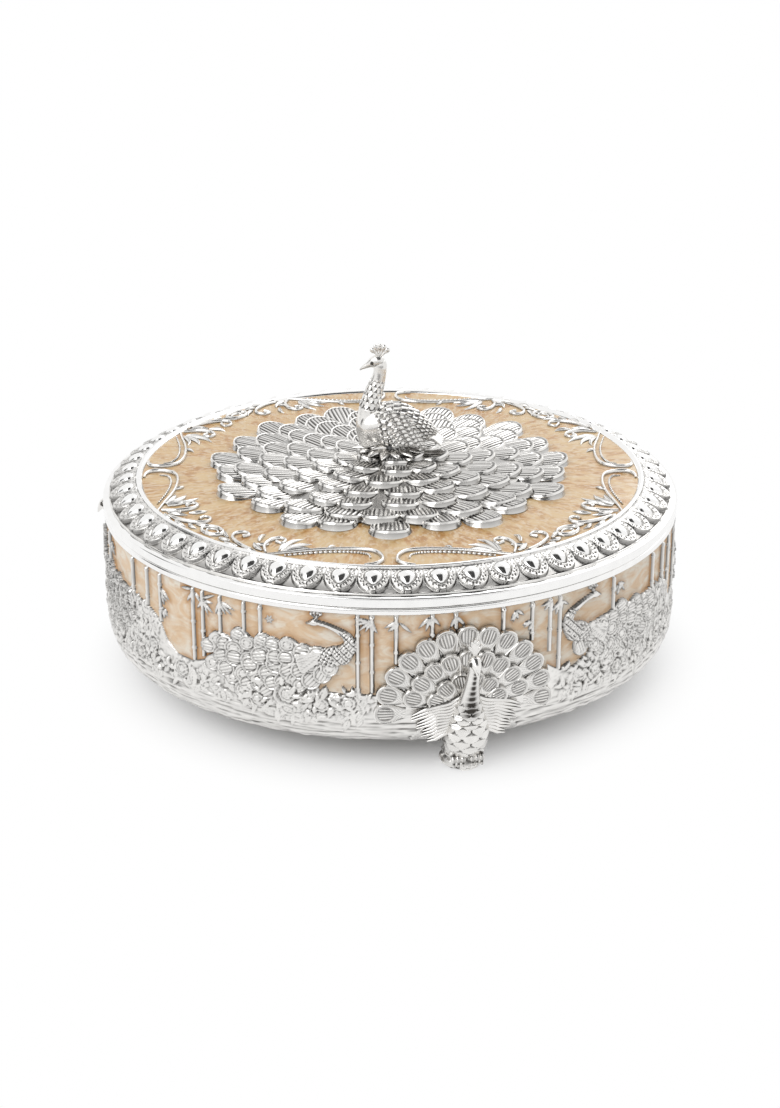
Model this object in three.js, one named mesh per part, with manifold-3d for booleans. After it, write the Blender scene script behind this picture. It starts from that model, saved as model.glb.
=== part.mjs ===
// Dry fruit box: a round lidded case on three peacock feet, silver plated over enamel grounds.
// Lengths are millimetres and angles degrees. +Z is up, the soles stand on z = 0 and foot 1 faces -Y.
import * as THREE from 'three';
import { mergeVertices } from 'three/addons/utils/BufferGeometryUtils.js';
import Module from 'manifold-3d';

const wasm = await Module();
wasm.setup();

// Clearances and working values
const gap = 0.3; // between pieces that seat on each other
const slideGap = 0.8; // round pieces that lift out
const overrun = 3; // how far a cut runs past what it cuts
const weld = 1e-4; // vertices nearer than this are one
const speck = 0.01; // cubic millimetres that no real piece is smaller than

// Case
const drumRadius = 148; // outside of the enamelled wall
const footHeight = 16; // ground to the underside of the case
const caseHeight = 70; // underside of the case to the lid seam
const sheet = 1.4; // gauge of the spun and rolled metal
const enamelDepth = 1;
const cornerInset = 8; // how far the base moulding turns in
const cornerRise = 10; // how high that turn goes
const mouldingHeight = 12;
const mouldingSeatWidth = 12; // ledge that carries the floor plate and takes the foot screws
const mouldingSeatDepth = 3;
const floorSheet = 1.6;
const padThickness = 1.5;
const beadHeight = 3.6;
const beadProud = 2; // rim bead outside the wall

// Lid
const bandHeight = 4.9;
const bandBulge = 0.4;
const ledgeWidth = 3;
const eggBorderWidth = 14.1;
const eggBorderRise = 7;
const eggPlate = 1; // thickness of the casting under the eggs
const eggCount = 56;
const eggHeight = 2.4;
const eggFieldLength = 11; // along the slope, collar included
const beadRingWidth = 2.2;
const beadRingHeight = 1.8;
const flangeDepth = 8; // how far the lid plugs into the case
const lidTurn = -14; // the lid is set down turned against foot 1

// Rosette on the lid
const enamelMargin = 34; // enamel left bare between the rosette and the bead ring
const rosettePlate = 1;
const rosetteRise = 8;
const rowPitchShare = 0.177; // of the rosette's radius, as are the feathers' sizes
const featherLengthShare = 0.229;
const featherWidthShare = 0.167;
const rootThickness = 1.2;
const tipThickness = 3;
const eyeDish = 0.8; // how far the eye is sunk in its rim
const rowCounts = [24, 22, 18, 12, 8];

// Scrolls and leaves on the enamel disc
const scrollWidth = 2.6;
const scrollHeight = 1.8;
const scrollDepth = 17; // how far a bracket reaches in from the bead ring
const bracketCount = 4;

// Knob
const knobLength = 39;
const knobHeight = 56;
const knobWidth = 21;
const crestWidth = 9;
const crestThickness = 1.4;
const studRadius = 2;
const studGrip = 10; // stud inside the bird
const nutHeight = 4;
const nutRadius = 4.6;
const washerRadius = 7;
const washerThickness = 1.4;

// Feet
const footCount = 3;
const soleWidth = 21;
const soleLength = 20;
const soleProud = 3; // sole outside the wall
const footBirdHeight = 77; // sole to the top of the crest
const footReach = 19; // wall to the beak
const footBodyWidth = 21;
const footCrestWidth = 8;
const screwInset = 10; // from the wall to a screw's axis
const screwRadius = 2;
const screwHeadRadius = 4;
const screwHeadHeight = 1.4;
const screwLength = 14;

// Raised work on the wall
const fanRadius = 46;
const fanHubHeight = 32; // hub of the fan above the ground
const fanPitch = 12.5;
const fanFeatherLength = 15.5;
const fanFeatherWidth = 9.6;
const fanRoot = 0.8;
const fanTip = 1.9;
const fanRows = [
  { count: 11, spread: 94 },
  { count: 7, spread: 72 },
  { count: 5, spread: 52 },
];
const reliefDepth = 3.2; // how far the boldest raised work stands off the wall
const caneWidth = 2.6;
const canePitch = 16; // from one node of a bamboo cane to the next
const railWidth = 1.3;
const peonyRadius = 5;
const trainRows = 6; // rows of feathers along a wall bird's train
const trainTips = 3; // feathers across it
const tipReach = 1.6; // a feather's tip beyond the notches beside it

// Tray
const trayHeight = 50;
const traySheet = 1.2;
const cupRadius = 38;
const dividerCount = 4;

// Facets round a turn
const caseSides = 36;
const lidSides = 36;
const cupSides = 18;
const studSides = 10;
const nutSides = 6;
const limbSides = 8;

// Steps in which curved limbs are drawn
const cornerSteps = 3;
const armSteps = 7;
const leafSteps = 3;
const birdSteps = 7;

// Places that follow from the sizes
const seamZ = footHeight + caseHeight;
const wallOuter = drumRadius - enamelDepth - gap;
const wallInner = wallOuter - sheet;
const mouldingTop = footHeight + mouldingHeight;
const beadBottom = seamZ - beadHeight;
const rimRadius = drumRadius + beadProud;
const seatZ = footHeight + mouldingSeatDepth;
const floorBottom = seatZ + gap;
const floorTop = floorBottom + floorSheet;
const padBottom = floorTop + gap;
const padTop = padBottom + padThickness;
const fieldBottom = mouldingTop + gap; // the enamelled field of the wall
const fieldTop = beadBottom - gap;
const fieldHeight = fieldTop - fieldBottom;

const flangeOuter = wallInner - slideGap;
const flangeBottom = seamZ - flangeDepth;
const bandBottom = seamZ + gap;
const bandTop = bandBottom + bandHeight;
const bandInner = flangeOuter + gap;
const slopeOuter = rimRadius - ledgeWidth;
const slopeInner = slopeOuter - eggBorderWidth;
const slopeBottom = bandTop + gap;
const discTop = slopeBottom + eggBorderRise;
const discRadius = slopeInner - beadRingWidth - 2 * gap;
const rosetteRadius = discRadius - enamelMargin;
const shellTop = discTop - enamelDepth - gap;
const shellBottom = shellTop - sheet;
const boreRadius = studRadius + gap;
const facetAngle = 360 / caseSides;

const root = new THREE.Group();
const lid = new THREE.Group();
lid.rotation.z = THREE.MathUtils.degToRad(lidTurn);
root.add(lid);

const finish = (color, roughness, metalness) =>
  new THREE.MeshStandardMaterial({ color, roughness, metalness });
const silver = () => finish(0xd9d6cf, 0.28, 1);
const polished = () => finish(0xe8e6e1, 0.12, 1);
const dullSilver = () => finish(0xbdbab3, 0.4, 1);
const paleEnamel = () => finish(0xe2cdb4, 0.3, 0.1);
const amberEnamel = () => finish(0xe0bd8c, 0.25, 0.1);
const felt = () => finish(0x5a2230, 0.95, 0);
const steel = () => finish(0x8f9194, 0.35, 1);

// Names a mesh and hangs it in its group
function part(group, name, geometry, material) {
  const mesh = new THREE.Mesh(geometry, material);
  mesh.name = name;
  group.add(mesh);
  return mesh;
}

// Keeps only welded positions, so that a shape can be measured and cut
function welded(geometry) {
  const bare = geometry.clone();
  bare.deleteAttribute('normal');
  bare.deleteAttribute('uv');
  return mergeVertices(bare, weld);
}

// Turns a closed shape's faces outwards
function facingOut(geometry) {
  const p = geometry.attributes.position;
  const index = Array.from(geometry.index.array);
  const [a, b, c] = [new THREE.Vector3(), new THREE.Vector3(), new THREE.Vector3()];
  let volume = 0;
  for (let i = 0; i < index.length; i += 3) {
    a.fromBufferAttribute(p, index[i]);
    b.fromBufferAttribute(p, index[i + 1]);
    c.fromBufferAttribute(p, index[i + 2]);
    volume += a.dot(b.cross(c));
  }
  if (volume < 0) index.reverse();
  geometry.setIndex(index);
  geometry.computeVertexNormals();
  return geometry;
}

// Revolves a closed profile of [radius, height] about the drum's axis
function turned(profile, sides) {
  const points = [...profile, profile[0]].map(([r, z]) => new THREE.Vector2(r, z));
  const geometry = new THREE.LatheGeometry(points, sides);
  geometry.rotateX(Math.PI / 2);
  return facingOut(welded(geometry));
}

function tube(inner, outer, bottom, top, sides) {
  const profile = [[inner, bottom], [outer, bottom], [outer, top], [inner, top]];
  return turned(profile, sides);
}

function disc(radius, bottom, top, sides) {
  const geometry = new THREE.CylinderGeometry(radius, radius, top - bottom, sides);
  geometry.rotateX(Math.PI / 2);
  geometry.translate(0, 0, (bottom + top) / 2);
  return facingOut(welded(geometry));
}

function skin(points, index) {
  const geometry = new THREE.BufferGeometry();
  const numbers = points.flatMap((p) => [p.x, p.y, p.z]);
  geometry.setAttribute('position', new THREE.Float32BufferAttribute(numbers, 3));
  geometry.setIndex(index);
  return facingOut(geometry);
}

// A closed skin through rings of points, with flat ends
function loft(rings) {
  const count = rings[0].length;
  const index = [];
  for (let i = 0; i + 1 < rings.length; i += 1) {
    for (let j = 0; j < count; j += 1) {
      const near = i * count + j;
      const next = i * count + ((j + 1) % count);
      index.push(near, next, next + count, near, next + count, near + count);
    }
  }
  const last = (rings.length - 1) * count;
  for (let j = 1; j + 1 < count; j += 1) {
    index.push(0, j + 1, j, last, last + j, last + j + 1);
  }
  return skin(rings.flat(), index);
}

// Drops the specks that coplanar faces can leave when shapes are joined
function withoutSpecks(solid) {
  const bodies = solid.decompose().filter((body) => body.volume() > speck);
  return bodies.reduce((all, one) => all.add(one));
}

function toSolid(geometry) {
  const mesh = welded(geometry);
  return new wasm.Manifold(new wasm.Mesh({
    numProp: 3,
    vertProperties: mesh.attributes.position.array,
    triVerts: new Uint32Array(mesh.index.array),
  }));
}

function fromSolid(solid) {
  const mesh = solid.getMesh();
  const geometry = new THREE.BufferGeometry();
  geometry.setAttribute('position', new THREE.BufferAttribute(mesh.vertProperties, 3));
  geometry.setIndex(new THREE.BufferAttribute(mesh.triVerts, 1));
  geometry.computeVertexNormals();
  return geometry;
}

function fused(shapes) {
  const joined = shapes.map(toSolid).reduce((all, one) => all.add(one));
  return fromSolid(withoutSpecks(joined));
}

function cut(geometry, tools) {
  const left = tools.map(toSolid).reduce((rest, tool) => rest.subtract(tool), toSolid(geometry));
  return fromSolid(withoutSpecks(left));
}

// Frames in which ornament is drawn: two in-plane coordinates and one out of the plane
const radians = THREE.MathUtils.degToRad;
const onWall = (s, z, out) => {
  const r = drumRadius + gap + out;
  return new THREE.Vector3(r * Math.sin(s / drumRadius), -r * Math.cos(s / drumRadius), z);
};
const onDisc = (x, y, out) => new THREE.Vector3(x, y, discTop + gap + out);
const atFoot = (reach, z, across) => new THREE.Vector3(across, -(drumRadius + reach), z);
const atKnob = (x, z, across) => new THREE.Vector3(x, across, z);

const roundSection = Array.from({ length: limbSides }, (_, i) => {
  const turn = (2 * Math.PI * i) / limbSides;
  return [Math.cos(turn), Math.sin(turn)];
});
const reliefShares = [[-1, 0], [-0.55, 1], [0.55, 1], [1, 0]];
const ridgeShares = [[-1, 0], [0, 1], [1, 0]];

// A body swept along stations of [u, v, half width in the plane, half size out of it]
function limb(stations, section, place) {
  const rings = stations.map(([u, v, wide, deep], i) => {
    const before = stations[Math.max(i - 1, 0)];
    const after = stations[Math.min(i + 1, stations.length - 1)];
    const along = new THREE.Vector2(after[0] - before[0], after[1] - before[1]).normalize();
    return section.map(([a, b]) => place(u - along.y * wide * a, v + along.x * wide * a, deep * b));
  });
  return loft(rings);
}

// More stations between the given ones, on a smooth curve
function smooth(stations, steps) {
  const curve = (points) => new THREE.CatmullRomCurve3(points, false, 'catmullrom');
  const route = curve(stations.map(([u, v]) => new THREE.Vector3(u, v, 0)));
  const girth = curve(stations.map(([, , a, b]) => new THREE.Vector3(a, b, 0)));
  return Array.from({ length: steps + 1 }, (_, i) => {
    const p = route.getPoint(i / steps);
    const g = girth.getPoint(i / steps);
    return [p.x, p.y, g.x, g.y];
  });
}

// Case shells
part(root, 'case_wall', tube(wallInner, wallOuter, fieldBottom, seamZ - gap, caseSides), silver());
part(root, 'enamel_band', tube(wallOuter + gap, drumRadius, fieldBottom, fieldTop, caseSides), paleEnamel());

function rimBead() {
  const inner = wallOuter + gap;
  const soft = beadHeight / 4; // rounding of the bead's outer edges
  return turned([
    [inner, beadBottom],
    [rimRadius - soft, beadBottom],
    [rimRadius, beadBottom + soft],
    [rimRadius, seamZ - soft],
    [rimRadius - soft, seamZ],
    [inner, seamZ],
  ], caseSides);
}
part(root, 'rim_bead', rimBead(), polished());

// The corner of the base is a quarter of an ellipse
const cornerPoints = Array.from({ length: cornerSteps + 1 }, (_, i) => {
  const turn = (i / cornerSteps) * (Math.PI / 2);
  const r = drumRadius - cornerInset + cornerInset * Math.sin(turn);
  return [r, footHeight + cornerRise * (1 - Math.cos(turn))];
});
const mouldingInner = wallInner - mouldingSeatWidth;
const mouldingProfile = [
  [mouldingInner, footHeight],
  ...cornerPoints,
  [drumRadius, mouldingTop],
  [wallInner, mouldingTop],
  [wallInner, seatZ],
  [mouldingInner, seatZ],
];

// A row of feathers cast as one: each has a raised rim round a dished eye, and its root joins its neighbours'
// Rows: half width and distance from the root, as shares of the feather's width and length
const tipShares = [[-0.5, 0.64], [-0.24, 1], [0.24, 1], [0.5, 0.64]];
const eyeShares = [[0, 0.36], [-0.34, 0.64], [-0.17, 0.88], [0.17, 0.88], [0.34, 0.64]];
const eyeCentreShares = [0, 0.66];
const rimShare = 0.7; // height of the outer edge against the rim
const valleyShare = 0.24; // how far out neighbours are joined
// One feather's corners, by their places in the list that petalRow makes for it
const outline = ['leftRoot', 'leftValley', 'tip0', 'tip1', 'tip2', 'tip3', 'rightValley', 'rightRoot'];
const dishedFaces = [
  ['leftRoot', 'leftValley', 'eye1'], ['leftRoot', 'eye1', 'eye0'], ['leftValley', 'tip0', 'eye1'],
  ['tip0', 'tip1', 'eye1'], ['tip1', 'eye2', 'eye1'], ['tip1', 'tip2', 'eye2'], ['tip2', 'eye3', 'eye2'],
  ['tip2', 'tip3', 'eye3'], ['tip3', 'eye4', 'eye3'], ['tip3', 'rightValley', 'eye4'],
  ['rightValley', 'rightRoot', 'eye4'], ['rightRoot', 'leftRoot', 'eye0'], ['rightRoot', 'eye0', 'eye4'],
  ['eye0', 'eye1', 'middle'], ['eye1', 'eye2', 'middle'], ['eye2', 'eye3', 'middle'],
  ['eye3', 'eye4', 'middle'], ['eye4', 'eye0', 'middle'],
];

// A small feather has a ridge in place of the dished eye
const ridgedFaces = outline.map((name, i) => [name, outline[(i + 1) % outline.length], 'middle']);

// Places take the distance from the row's centre, a direction, an offset across it and a height
function petalRow(row, turns, halfPitch, closed, place) {
  const { root: start, length, width, lift, rootThick, tipThick, dish } = row;
  const points = [];
  const index = [];
  const add = (share, turn, across, height) => {
    points.push(place(start + share * length, turn, across, height));
    return points.length - 1;
  };
  const low = (share) => lift * share;
  const thick = (share) => rootThick + (tipThick - rootThick) * share;
  const edge = (share) => low(share) + thick(share) * rimShare;
  const pair = (share, turn, across) => ({
    low: add(share, turn, across, low(share)),
    high: add(share, turn, across, edge(share)),
  });
  const borders = turns.map((turn) => [pair(0, turn - halfPitch, 0), pair(valleyShare, turn - halfPitch, 0)]);
  const end = turns.at(-1) + halfPitch;
  borders.push(closed ? borders[0] : [pair(0, end, 0), pair(valleyShare, end, 0)]);
  const wall = (from, to) => index.push(to.high, from.high, from.low, to.high, from.low, to.low);

  turns.forEach((turn, i) => {
    const clipped = (a, b) => {
      const most = (start + b * length) * Math.tan(halfPitch) - gap / 2;
      return THREE.MathUtils.clamp(a * width, -most, most);
    };
    const corner = { leftRoot: borders[i][0], leftValley: borders[i][1] };
    [corner.rightRoot, corner.rightValley] = borders[i + 1];
    tipShares.forEach(([a, b], j) => {
      corner[`tip${j}`] = pair(b, turn, clipped(a, b));
    });
    const faces = dish > 0 ? dishedFaces : ridgedFaces;
    const eye = dish > 0 ? eyeShares : [];
    eye.forEach(([a, b], j) => {
      corner[`eye${j}`] = { high: add(b, turn, clipped(a, b), low(b) + thick(b)) };
    });
    const [across, along] = eyeCentreShares;
    corner.middle = { high: add(along, turn, across, low(along) + thick(along) - dish) };
    faces.forEach((face) => index.push(...face.map((name) => corner[name].high)));
    outline.forEach((name, j) => {
      if (j > 0 && j + 1 < outline.length) {
        index.push(corner[outline[0]].low, corner[outline[j + 1]].low, corner[name].low);
      }
    });
    for (let j = 1; j + 2 < outline.length; j += 1) wall(corner[outline[j]], corner[outline[j + 1]]);
    wall(corner.rightRoot, corner.leftRoot);
  });
  if (!closed) {
    wall(borders[0][0], borders[0][1]);
    wall(borders.at(-1)[1], borders.at(-1)[0]);
  }
  return skin(points, index);
}

// Each row's tips lie on the roots of the row outside it, so its lift follows from that row
function featherRows(counts, sizes) {
  const { radius, pitch, length, rootThick, tipThick } = sizes;
  const lap = (length - pitch) / length;
  let lift = 0;
  return counts.map((count, i) => {
    const row = { ...sizes, count, lift, root: radius - pitch * i - length };
    const overTip = gap + rootThick + (tipThick - rootThick + lift) * lap;
    lift = Math.max(overTip, (gap + rootThick) / (1 - lap));
    return row;
  });
}

// Tail fan behind a foot
const fanRowSizes = featherRows(fanRows.map(({ count }) => count), {
  radius: fanRadius,
  pitch: fanPitch,
  length: fanFeatherLength,
  width: fanFeatherWidth,
  rootThick: fanRoot,
  tipThick: fanTip,
  dish: 0,
});

// Feet: a peacock standing on a rock, cut to the drum and bored for its screw
const screwHeadBottom = floorTop + gap;
const screwTop = screwHeadBottom + screwHeadHeight;
const screwBottom = screwTop - screwLength;

function standingPin(radius, bottom, top) {
  return disc(radius, bottom, top, studSides).translate(0, screwInset - drumRadius, 0);
}

const screwShank = (grow) => standingPin(screwRadius + grow, screwBottom - grow, screwTop);
const screwHead = (grow) => standingPin(screwHeadRadius + grow, screwHeadBottom - grow, screwTop);

// Rows: reach from the wall, height, half size fore and aft, half width; as shares of the bird's sizes
const chestShares = [
  [-0.2, 0.1, 0.3, 0.36],
  [0.1, 0.19, 0.42, 0.47],
  [0.24, 0.3, 0.4, 0.48],
  [0.28, 0.42, 0.28, 0.36],
  [0.4, 0.54, 0.19, 0.24],
  [0.58, 0.65, 0.16, 0.18],
  [0.75, 0.78, 0.15, 0.16],
];
const headShares = [
  [0.66, 0.77, 0.12, 0.14],
  [0.76, 0.79, 0.2, 0.19],
  [0.88, 0.775, 0.16, 0.15],
  [1.04, 0.74, 0.05, 0.05],
];
// Height, length and width of the rock, and how square it is between a round and a square section
const rockShare = 0.7;
const rockShares = [
  [0, 0.8, 0.82],
  [0.25, 1, 1],
  [0.7, 0.94, 0.96],
  [1, 0.98, 1],
];

function footStations(shares) {
  return shares.map(([reach, height, fore, wide]) => [
    reach * footReach,
    height * footBirdHeight,
    fore * footReach,
    wide * footBodyWidth,
  ]);
}

function crestFan(width, height, thickness, place) {
  const outlineShares = [[-0.12, 0], [-0.5, 0.66], [-0.3, 0.94], [0, 1], [0.3, 0.94], [0.5, 0.66], [0.12, 0]];
  const ring = (side) => outlineShares.map(([a, b]) => place(a * width, b * height, side * thickness));
  return loft([ring(-0.5), ring(0.5)]);
}

function rock() {
  const centre = soleProud - soleLength / 2;
  const rings = rockShares.map(([height, long, wide]) => roundSection.map(([a, b]) => {
    const squareness = 1 / Math.max(Math.abs(a), Math.abs(b)) ** rockShare;
    const reach = centre + (a * squareness * long * soleLength) / 2;
    return atFoot(reach, height * (footHeight - gap), (b * squareness * wide * soleWidth) / 2);
  }));
  return loft(rings);
}

function drumWithGap() {
  const corner = cornerPoints.map(([r, z]) => [r + gap, z - gap]);
  const overFan = drumRadius + fanTip + fanRowSizes.at(-1).lift + 2 * gap;
  const profile = [
    [mouldingInner - soleLength, footHeight - gap],
    ...corner,
    [drumRadius + gap, fanHubHeight],
    [overFan, fanHubHeight],
    [overFan, seamZ],
    [mouldingInner - soleLength, seamZ],
  ];
  return turned(profile, caseSides);
}

const crestReachShare = 0.74;
const crestFootShare = 0.87;
const stemShares = [[crestReachShare, 0.8, 0.05, 0.05], [crestReachShare, 0.89, 0.05, 0.05]];

function footPeacock() {
  const crestFoot = crestFootShare * footBirdHeight;
  const crest = crestFan(
    footCrestWidth,
    footBirdHeight - crestFoot,
    crestThickness,
    (a, b, c) => atFoot(crestReachShare * footReach + c, crestFoot + b, a),
  );
  const stem = limb(footStations(stemShares), roundSection, atFoot);
  const bird = fused([
    rock(),
    limb(footStations(chestShares), roundSection, atFoot),
    limb(footStations(headShares), roundSection, atFoot),
    stem,
    crest,
  ]);
  return cut(bird, [drumWithGap(), screwShank(gap)]);
}

const thirds = Array.from({ length: footCount }, (_, i) => (360 / footCount) * i);

// Hangs one named copy of a shape at each foot's place round the drum
function roundTheDrum(name, geometry, material) {
  thirds.forEach((turn, i) => {
    const mesh = part(root, `${name}_${i + 1}`, geometry, material());
    mesh.rotation.z = radians(turn);
  });
}

function turnedCopies(geometry) {
  return thirds.map((turn) => geometry.clone().rotateZ(radians(turn)));
}

const screwHoles = turnedCopies(screwShank(gap));
const headHoles = turnedCopies(screwHead(gap));
const floorPlate = disc(wallInner - gap, floorBottom, floorTop, caseSides);
const pad = disc(wallInner - slideGap, padBottom, padTop, caseSides);
part(root, 'base_moulding', cut(turned(mouldingProfile, caseSides), screwHoles), silver());
part(root, 'case_floor', cut(floorPlate, screwHoles), silver());
part(root, 'felt_pad', cut(pad, headHoles), felt());
roundTheDrum('foot_screw', fused([screwShank(0), screwHead(0)]), steel);
roundTheDrum('foot_peacock', footPeacock(), silver);

// Rosette: a low dome with rows of feathers and a boss that the bird sits on
const coneHeight = (r) => rosettePlate + rosetteRise * (1 - r / rosetteRadius);
const rosetteRows = featherRows(rowCounts, {
  radius: rosetteRadius,
  pitch: rowPitchShare * rosetteRadius,
  length: featherLengthShare * rosetteRadius,
  width: featherWidthShare * rosetteRadius,
  rootThick: rootThickness,
  tipThick: tipThickness,
  dish: eyeDish,
});

function featherRing(row, offset) {
  const step = (2 * Math.PI) / row.count;
  const turns = Array.from({ length: row.count }, (_, i) => (i + offset) * step);
  return petalRow(row, turns, step / 2, true, (along, turn, across, out) => onDisc(
    along * Math.sin(turn) + across * Math.cos(turn),
    -along * Math.cos(turn) + across * Math.sin(turn),
    coneHeight(along) + gap + out,
  ));
}

const innerRow = rosetteRows.at(-1);
const innerTip = innerRow.root + innerRow.length;
const bossRadius = innerRow.root * Math.cos(Math.PI / innerRow.count) - gap;
const bossTop = discTop + gap + coneHeight(innerTip) + gap + innerRow.lift + tipThickness;
const plateRadius = rosetteRadius - rosettePlate;

function rosetteDome() {
  const bottom = discTop + gap;
  return turned([
    [boreRadius, bottom],
    [plateRadius, bottom],
    [plateRadius, bottom + coneHeight(plateRadius)],
    [bossRadius, bottom + coneHeight(bossRadius)],
    [bossRadius, bossTop],
    [boreRadius, bossTop],
  ], lidSides);
}
part(lid, 'rosette_dome', rosetteDome(), silver());
rosetteRows.forEach((row, i) => {
  part(lid, `feather_ring_${i + 1}`, featherRing(row, (i % 2) / 2), silver());
});

// Lid shells
function lidBand() {
  const soft = bandHeight / 6;
  return turned([
    [bandInner, bandBottom],
    [rimRadius - soft, bandBottom],
    [rimRadius + bandBulge, bandBottom + bandHeight / 3],
    [rimRadius + bandBulge, bandTop - bandHeight / 3],
    [rimRadius - soft, bandTop],
    [bandInner, bandTop],
  ], lidSides);
}
part(lid, 'lid_band', lidBand(), polished());

const flangeInner = flangeOuter - sheet;
const flangeTop = bandTop - gap;
part(lid, 'lid_flange', tube(flangeInner, flangeOuter, flangeBottom, flangeTop, lidSides), silver());

const shellRim = slopeOuter - eggPlate - gap;
function lidShell() {
  return turned([
    [boreRadius, shellTop],
    [boreRadius, shellBottom],
    [slopeInner - sheet, shellBottom],
    [shellRim - 2 * sheet, slopeBottom],
    [shellRim, slopeBottom],
    [slopeInner, shellTop],
  ], lidSides);
}
part(lid, 'lid_shell', lidShell(), silver());
part(lid, 'enamel_disc', tube(boreRadius, discRadius, shellTop + gap, discTop, lidSides), amberEnamel());

// Ring of eggs: a sloping plate with an egg in a raised collar on each facet
const slopeRun = new THREE.Vector2(-eggBorderWidth, eggBorderRise).normalize();
const eggMiddle = new THREE.Vector2(
  (slopeOuter + slopeInner) / 2,
  slopeBottom + (eggBorderRise + eggPlate) / 2,
);
const eggStep = (2 * Math.PI) / eggCount;
const eggFieldWidth = eggMiddle.x * eggStep - gap;
const collarHeight = 0.4 * eggHeight;
// The egg's groove and shoulder: width, length and height, as shares of its field and of its height
const grooveShares = { wide: 0.66, long: 0.78, high: 0.05 };
const shoulderShares = { wide: 0.44, long: 0.54, high: 0.8 };
const hexagonShares = [[-0.25, -0.5], [0.25, -0.5], [0.5, 0], [0.25, 0.5], [-0.25, 0.5], [-0.5, 0]];
// Faces between a field's four corners and the groove's six
const fieldFaces = [
  [0, 1, 5], [0, 5, 4], [1, 6, 5], [1, 2, 6], [2, 7, 6],
  [2, 8, 7], [2, 3, 8], [3, 9, 8], [3, 0, 9], [0, 4, 9],
];

function eggBorder() {
  const inner = slopeInner + gap;
  const points = [];
  const index = [];
  const add = (point) => points.push(point) - 1;
  const at = (turn, r, z) => new THREE.Vector3(r * Math.sin(turn), -r * Math.cos(turn), z);
  const borders = Array.from({ length: eggCount }, (_, i) => {
    const turn = i * eggStep;
    return {
      outer: add(at(turn, slopeOuter, slopeBottom + eggPlate + collarHeight)),
      inner: add(at(turn, inner, discTop + collarHeight)),
      innerLow: add(at(turn, inner, discTop - eggPlate)),
      outerLow: add(at(turn, slopeOuter, slopeBottom)),
    };
  });
  const facet = eggMiddle.x * Math.cos(eggStep / 2);
  const onSlope = (turn, across, along, high) => {
    const r = facet + along * slopeRun.x + high * slopeRun.y;
    const z = eggMiddle.y + along * slopeRun.y - high * slopeRun.x;
    return new THREE.Vector3(
      r * Math.sin(turn) + across * Math.cos(turn),
      across * Math.sin(turn) - r * Math.cos(turn),
      z,
    );
  };
  const quad = (a, b, c, d) => index.push(a, b, c, a, c, d);
  borders.forEach((left, i) => {
    const right = borders[(i + 1) % eggCount];
    const turn = (i + 0.5) * eggStep;
    const rings = [grooveShares, shoulderShares].map(({ wide, long, high }) => hexagonShares.map(
      ([a, b]) => add(onSlope(turn, a * wide * eggFieldWidth, b * long * eggFieldLength, high * eggHeight)),
    ));
    const top = add(onSlope(turn, 0, 0, eggHeight));
    const around = [left.outer, right.outer, right.inner, left.inner, ...rings[0]];
    fieldFaces.forEach((face) => index.push(...face.map((corner) => around[corner])));
    hexagonShares.forEach((_, j) => {
      const next = (j + 1) % hexagonShares.length;
      quad(rings[0][j], rings[0][next], rings[1][next], rings[1][j]);
      index.push(rings[1][j], rings[1][next], top);
    });
    quad(left.inner, right.inner, right.innerLow, left.innerLow);
    quad(left.innerLow, right.innerLow, right.outerLow, left.outerLow);
    quad(left.outerLow, right.outerLow, right.outer, left.outer);
  });
  return skin(points, index);
}
part(lid, 'egg_border', eggBorder(), silver());

function beadRing() {
  const outer = slopeInner - gap;
  const inner = outer - beadRingWidth;
  const bottom = shellTop + gap;
  const shoulder = discTop + beadRingHeight / 3;
  return turned([
    [inner, bottom],
    [outer, bottom],
    [outer, shoulder],
    [(inner + outer) / 2, discTop + beadRingHeight],
    [inner, shoulder],
  ], lidSides);
}
part(lid, 'bead_ring', beadRing(), dullSilver());

// Scroll brackets and leaf sprays on the enamel disc
// Rows: angle from the bracket's middle, distance in from the ring and width, the last two as shares
const wireStep = 12; // degrees between the stations of the wire that joins a bracket or spray
const wireShare = 0.45; // width and height of that wire
const armShares = [
  [1.4, -0.03, 0.8],
  [1.8, 0.2, 0.6],
  [1.2, 0.5, 0.6],
  [1.8, 0.84, 0.6],
  [4.6, 1, 0.6],
  [9.5, 0.98, 0.55],
  [16, 0.74, 0.5],
  [23, 0.3, 0.45],
  [28, 0.04, 0.4],
];
const tuftShares = [
  [22.5, 0.22, 0.9],
  [22.5, 0.7, 1.4],
  [20.5, 1.05, 0.5],
];
const leafShares = [
  [35, -0.02, 0.9],
  [39, 0.56, 1.3],
  [35, 0.86, 0.5],
];
const cartoucheShares = [
  [45, -0.02, 1.2],
  [45, 0.3, 2.2],
  [45, 0.66, 0.6],
];

// Stations on the disc from a table of [angle, distance in, width]
function discStations(rows, mirror) {
  const edge = discRadius - gap;
  return rows.map(([angle, inward, wide]) => {
    const r = edge - inward * scrollDepth - (wide * scrollWidth) / 2;
    const turn = radians(mirror * angle);
    return [r * Math.sin(turn), -r * Math.cos(turn), (wide * scrollWidth) / 2, scrollHeight];
  });
}

// A low wire along the bead ring, from one angle to another
function wire(from, to) {
  const count = Math.ceil((to - from) / wireStep);
  const rows = Array.from({ length: count + 1 }, (_, i) => [from + ((to - from) * i) / count, 0, wireShare]);
  const stations = discStations(rows, 1).map(([u, v, wide, high]) => [u, v, wide, high * wireShare]);
  return limb(stations, reliefShares, onDisc);
}

function discLimb(rows, mirror, steps) {
  return limb(smooth(discStations(rows, mirror), steps), ridgeShares, onDisc);
}

function scrollBracket() {
  const sides = [1, -1].flatMap((mirror) => [
    discLimb(armShares, mirror, armSteps),
    discLimb(tuftShares, mirror, leafSteps),
  ]);
  return fused([...sides, wire(-armShares[0][0], armShares[0][0])]);
}

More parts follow.
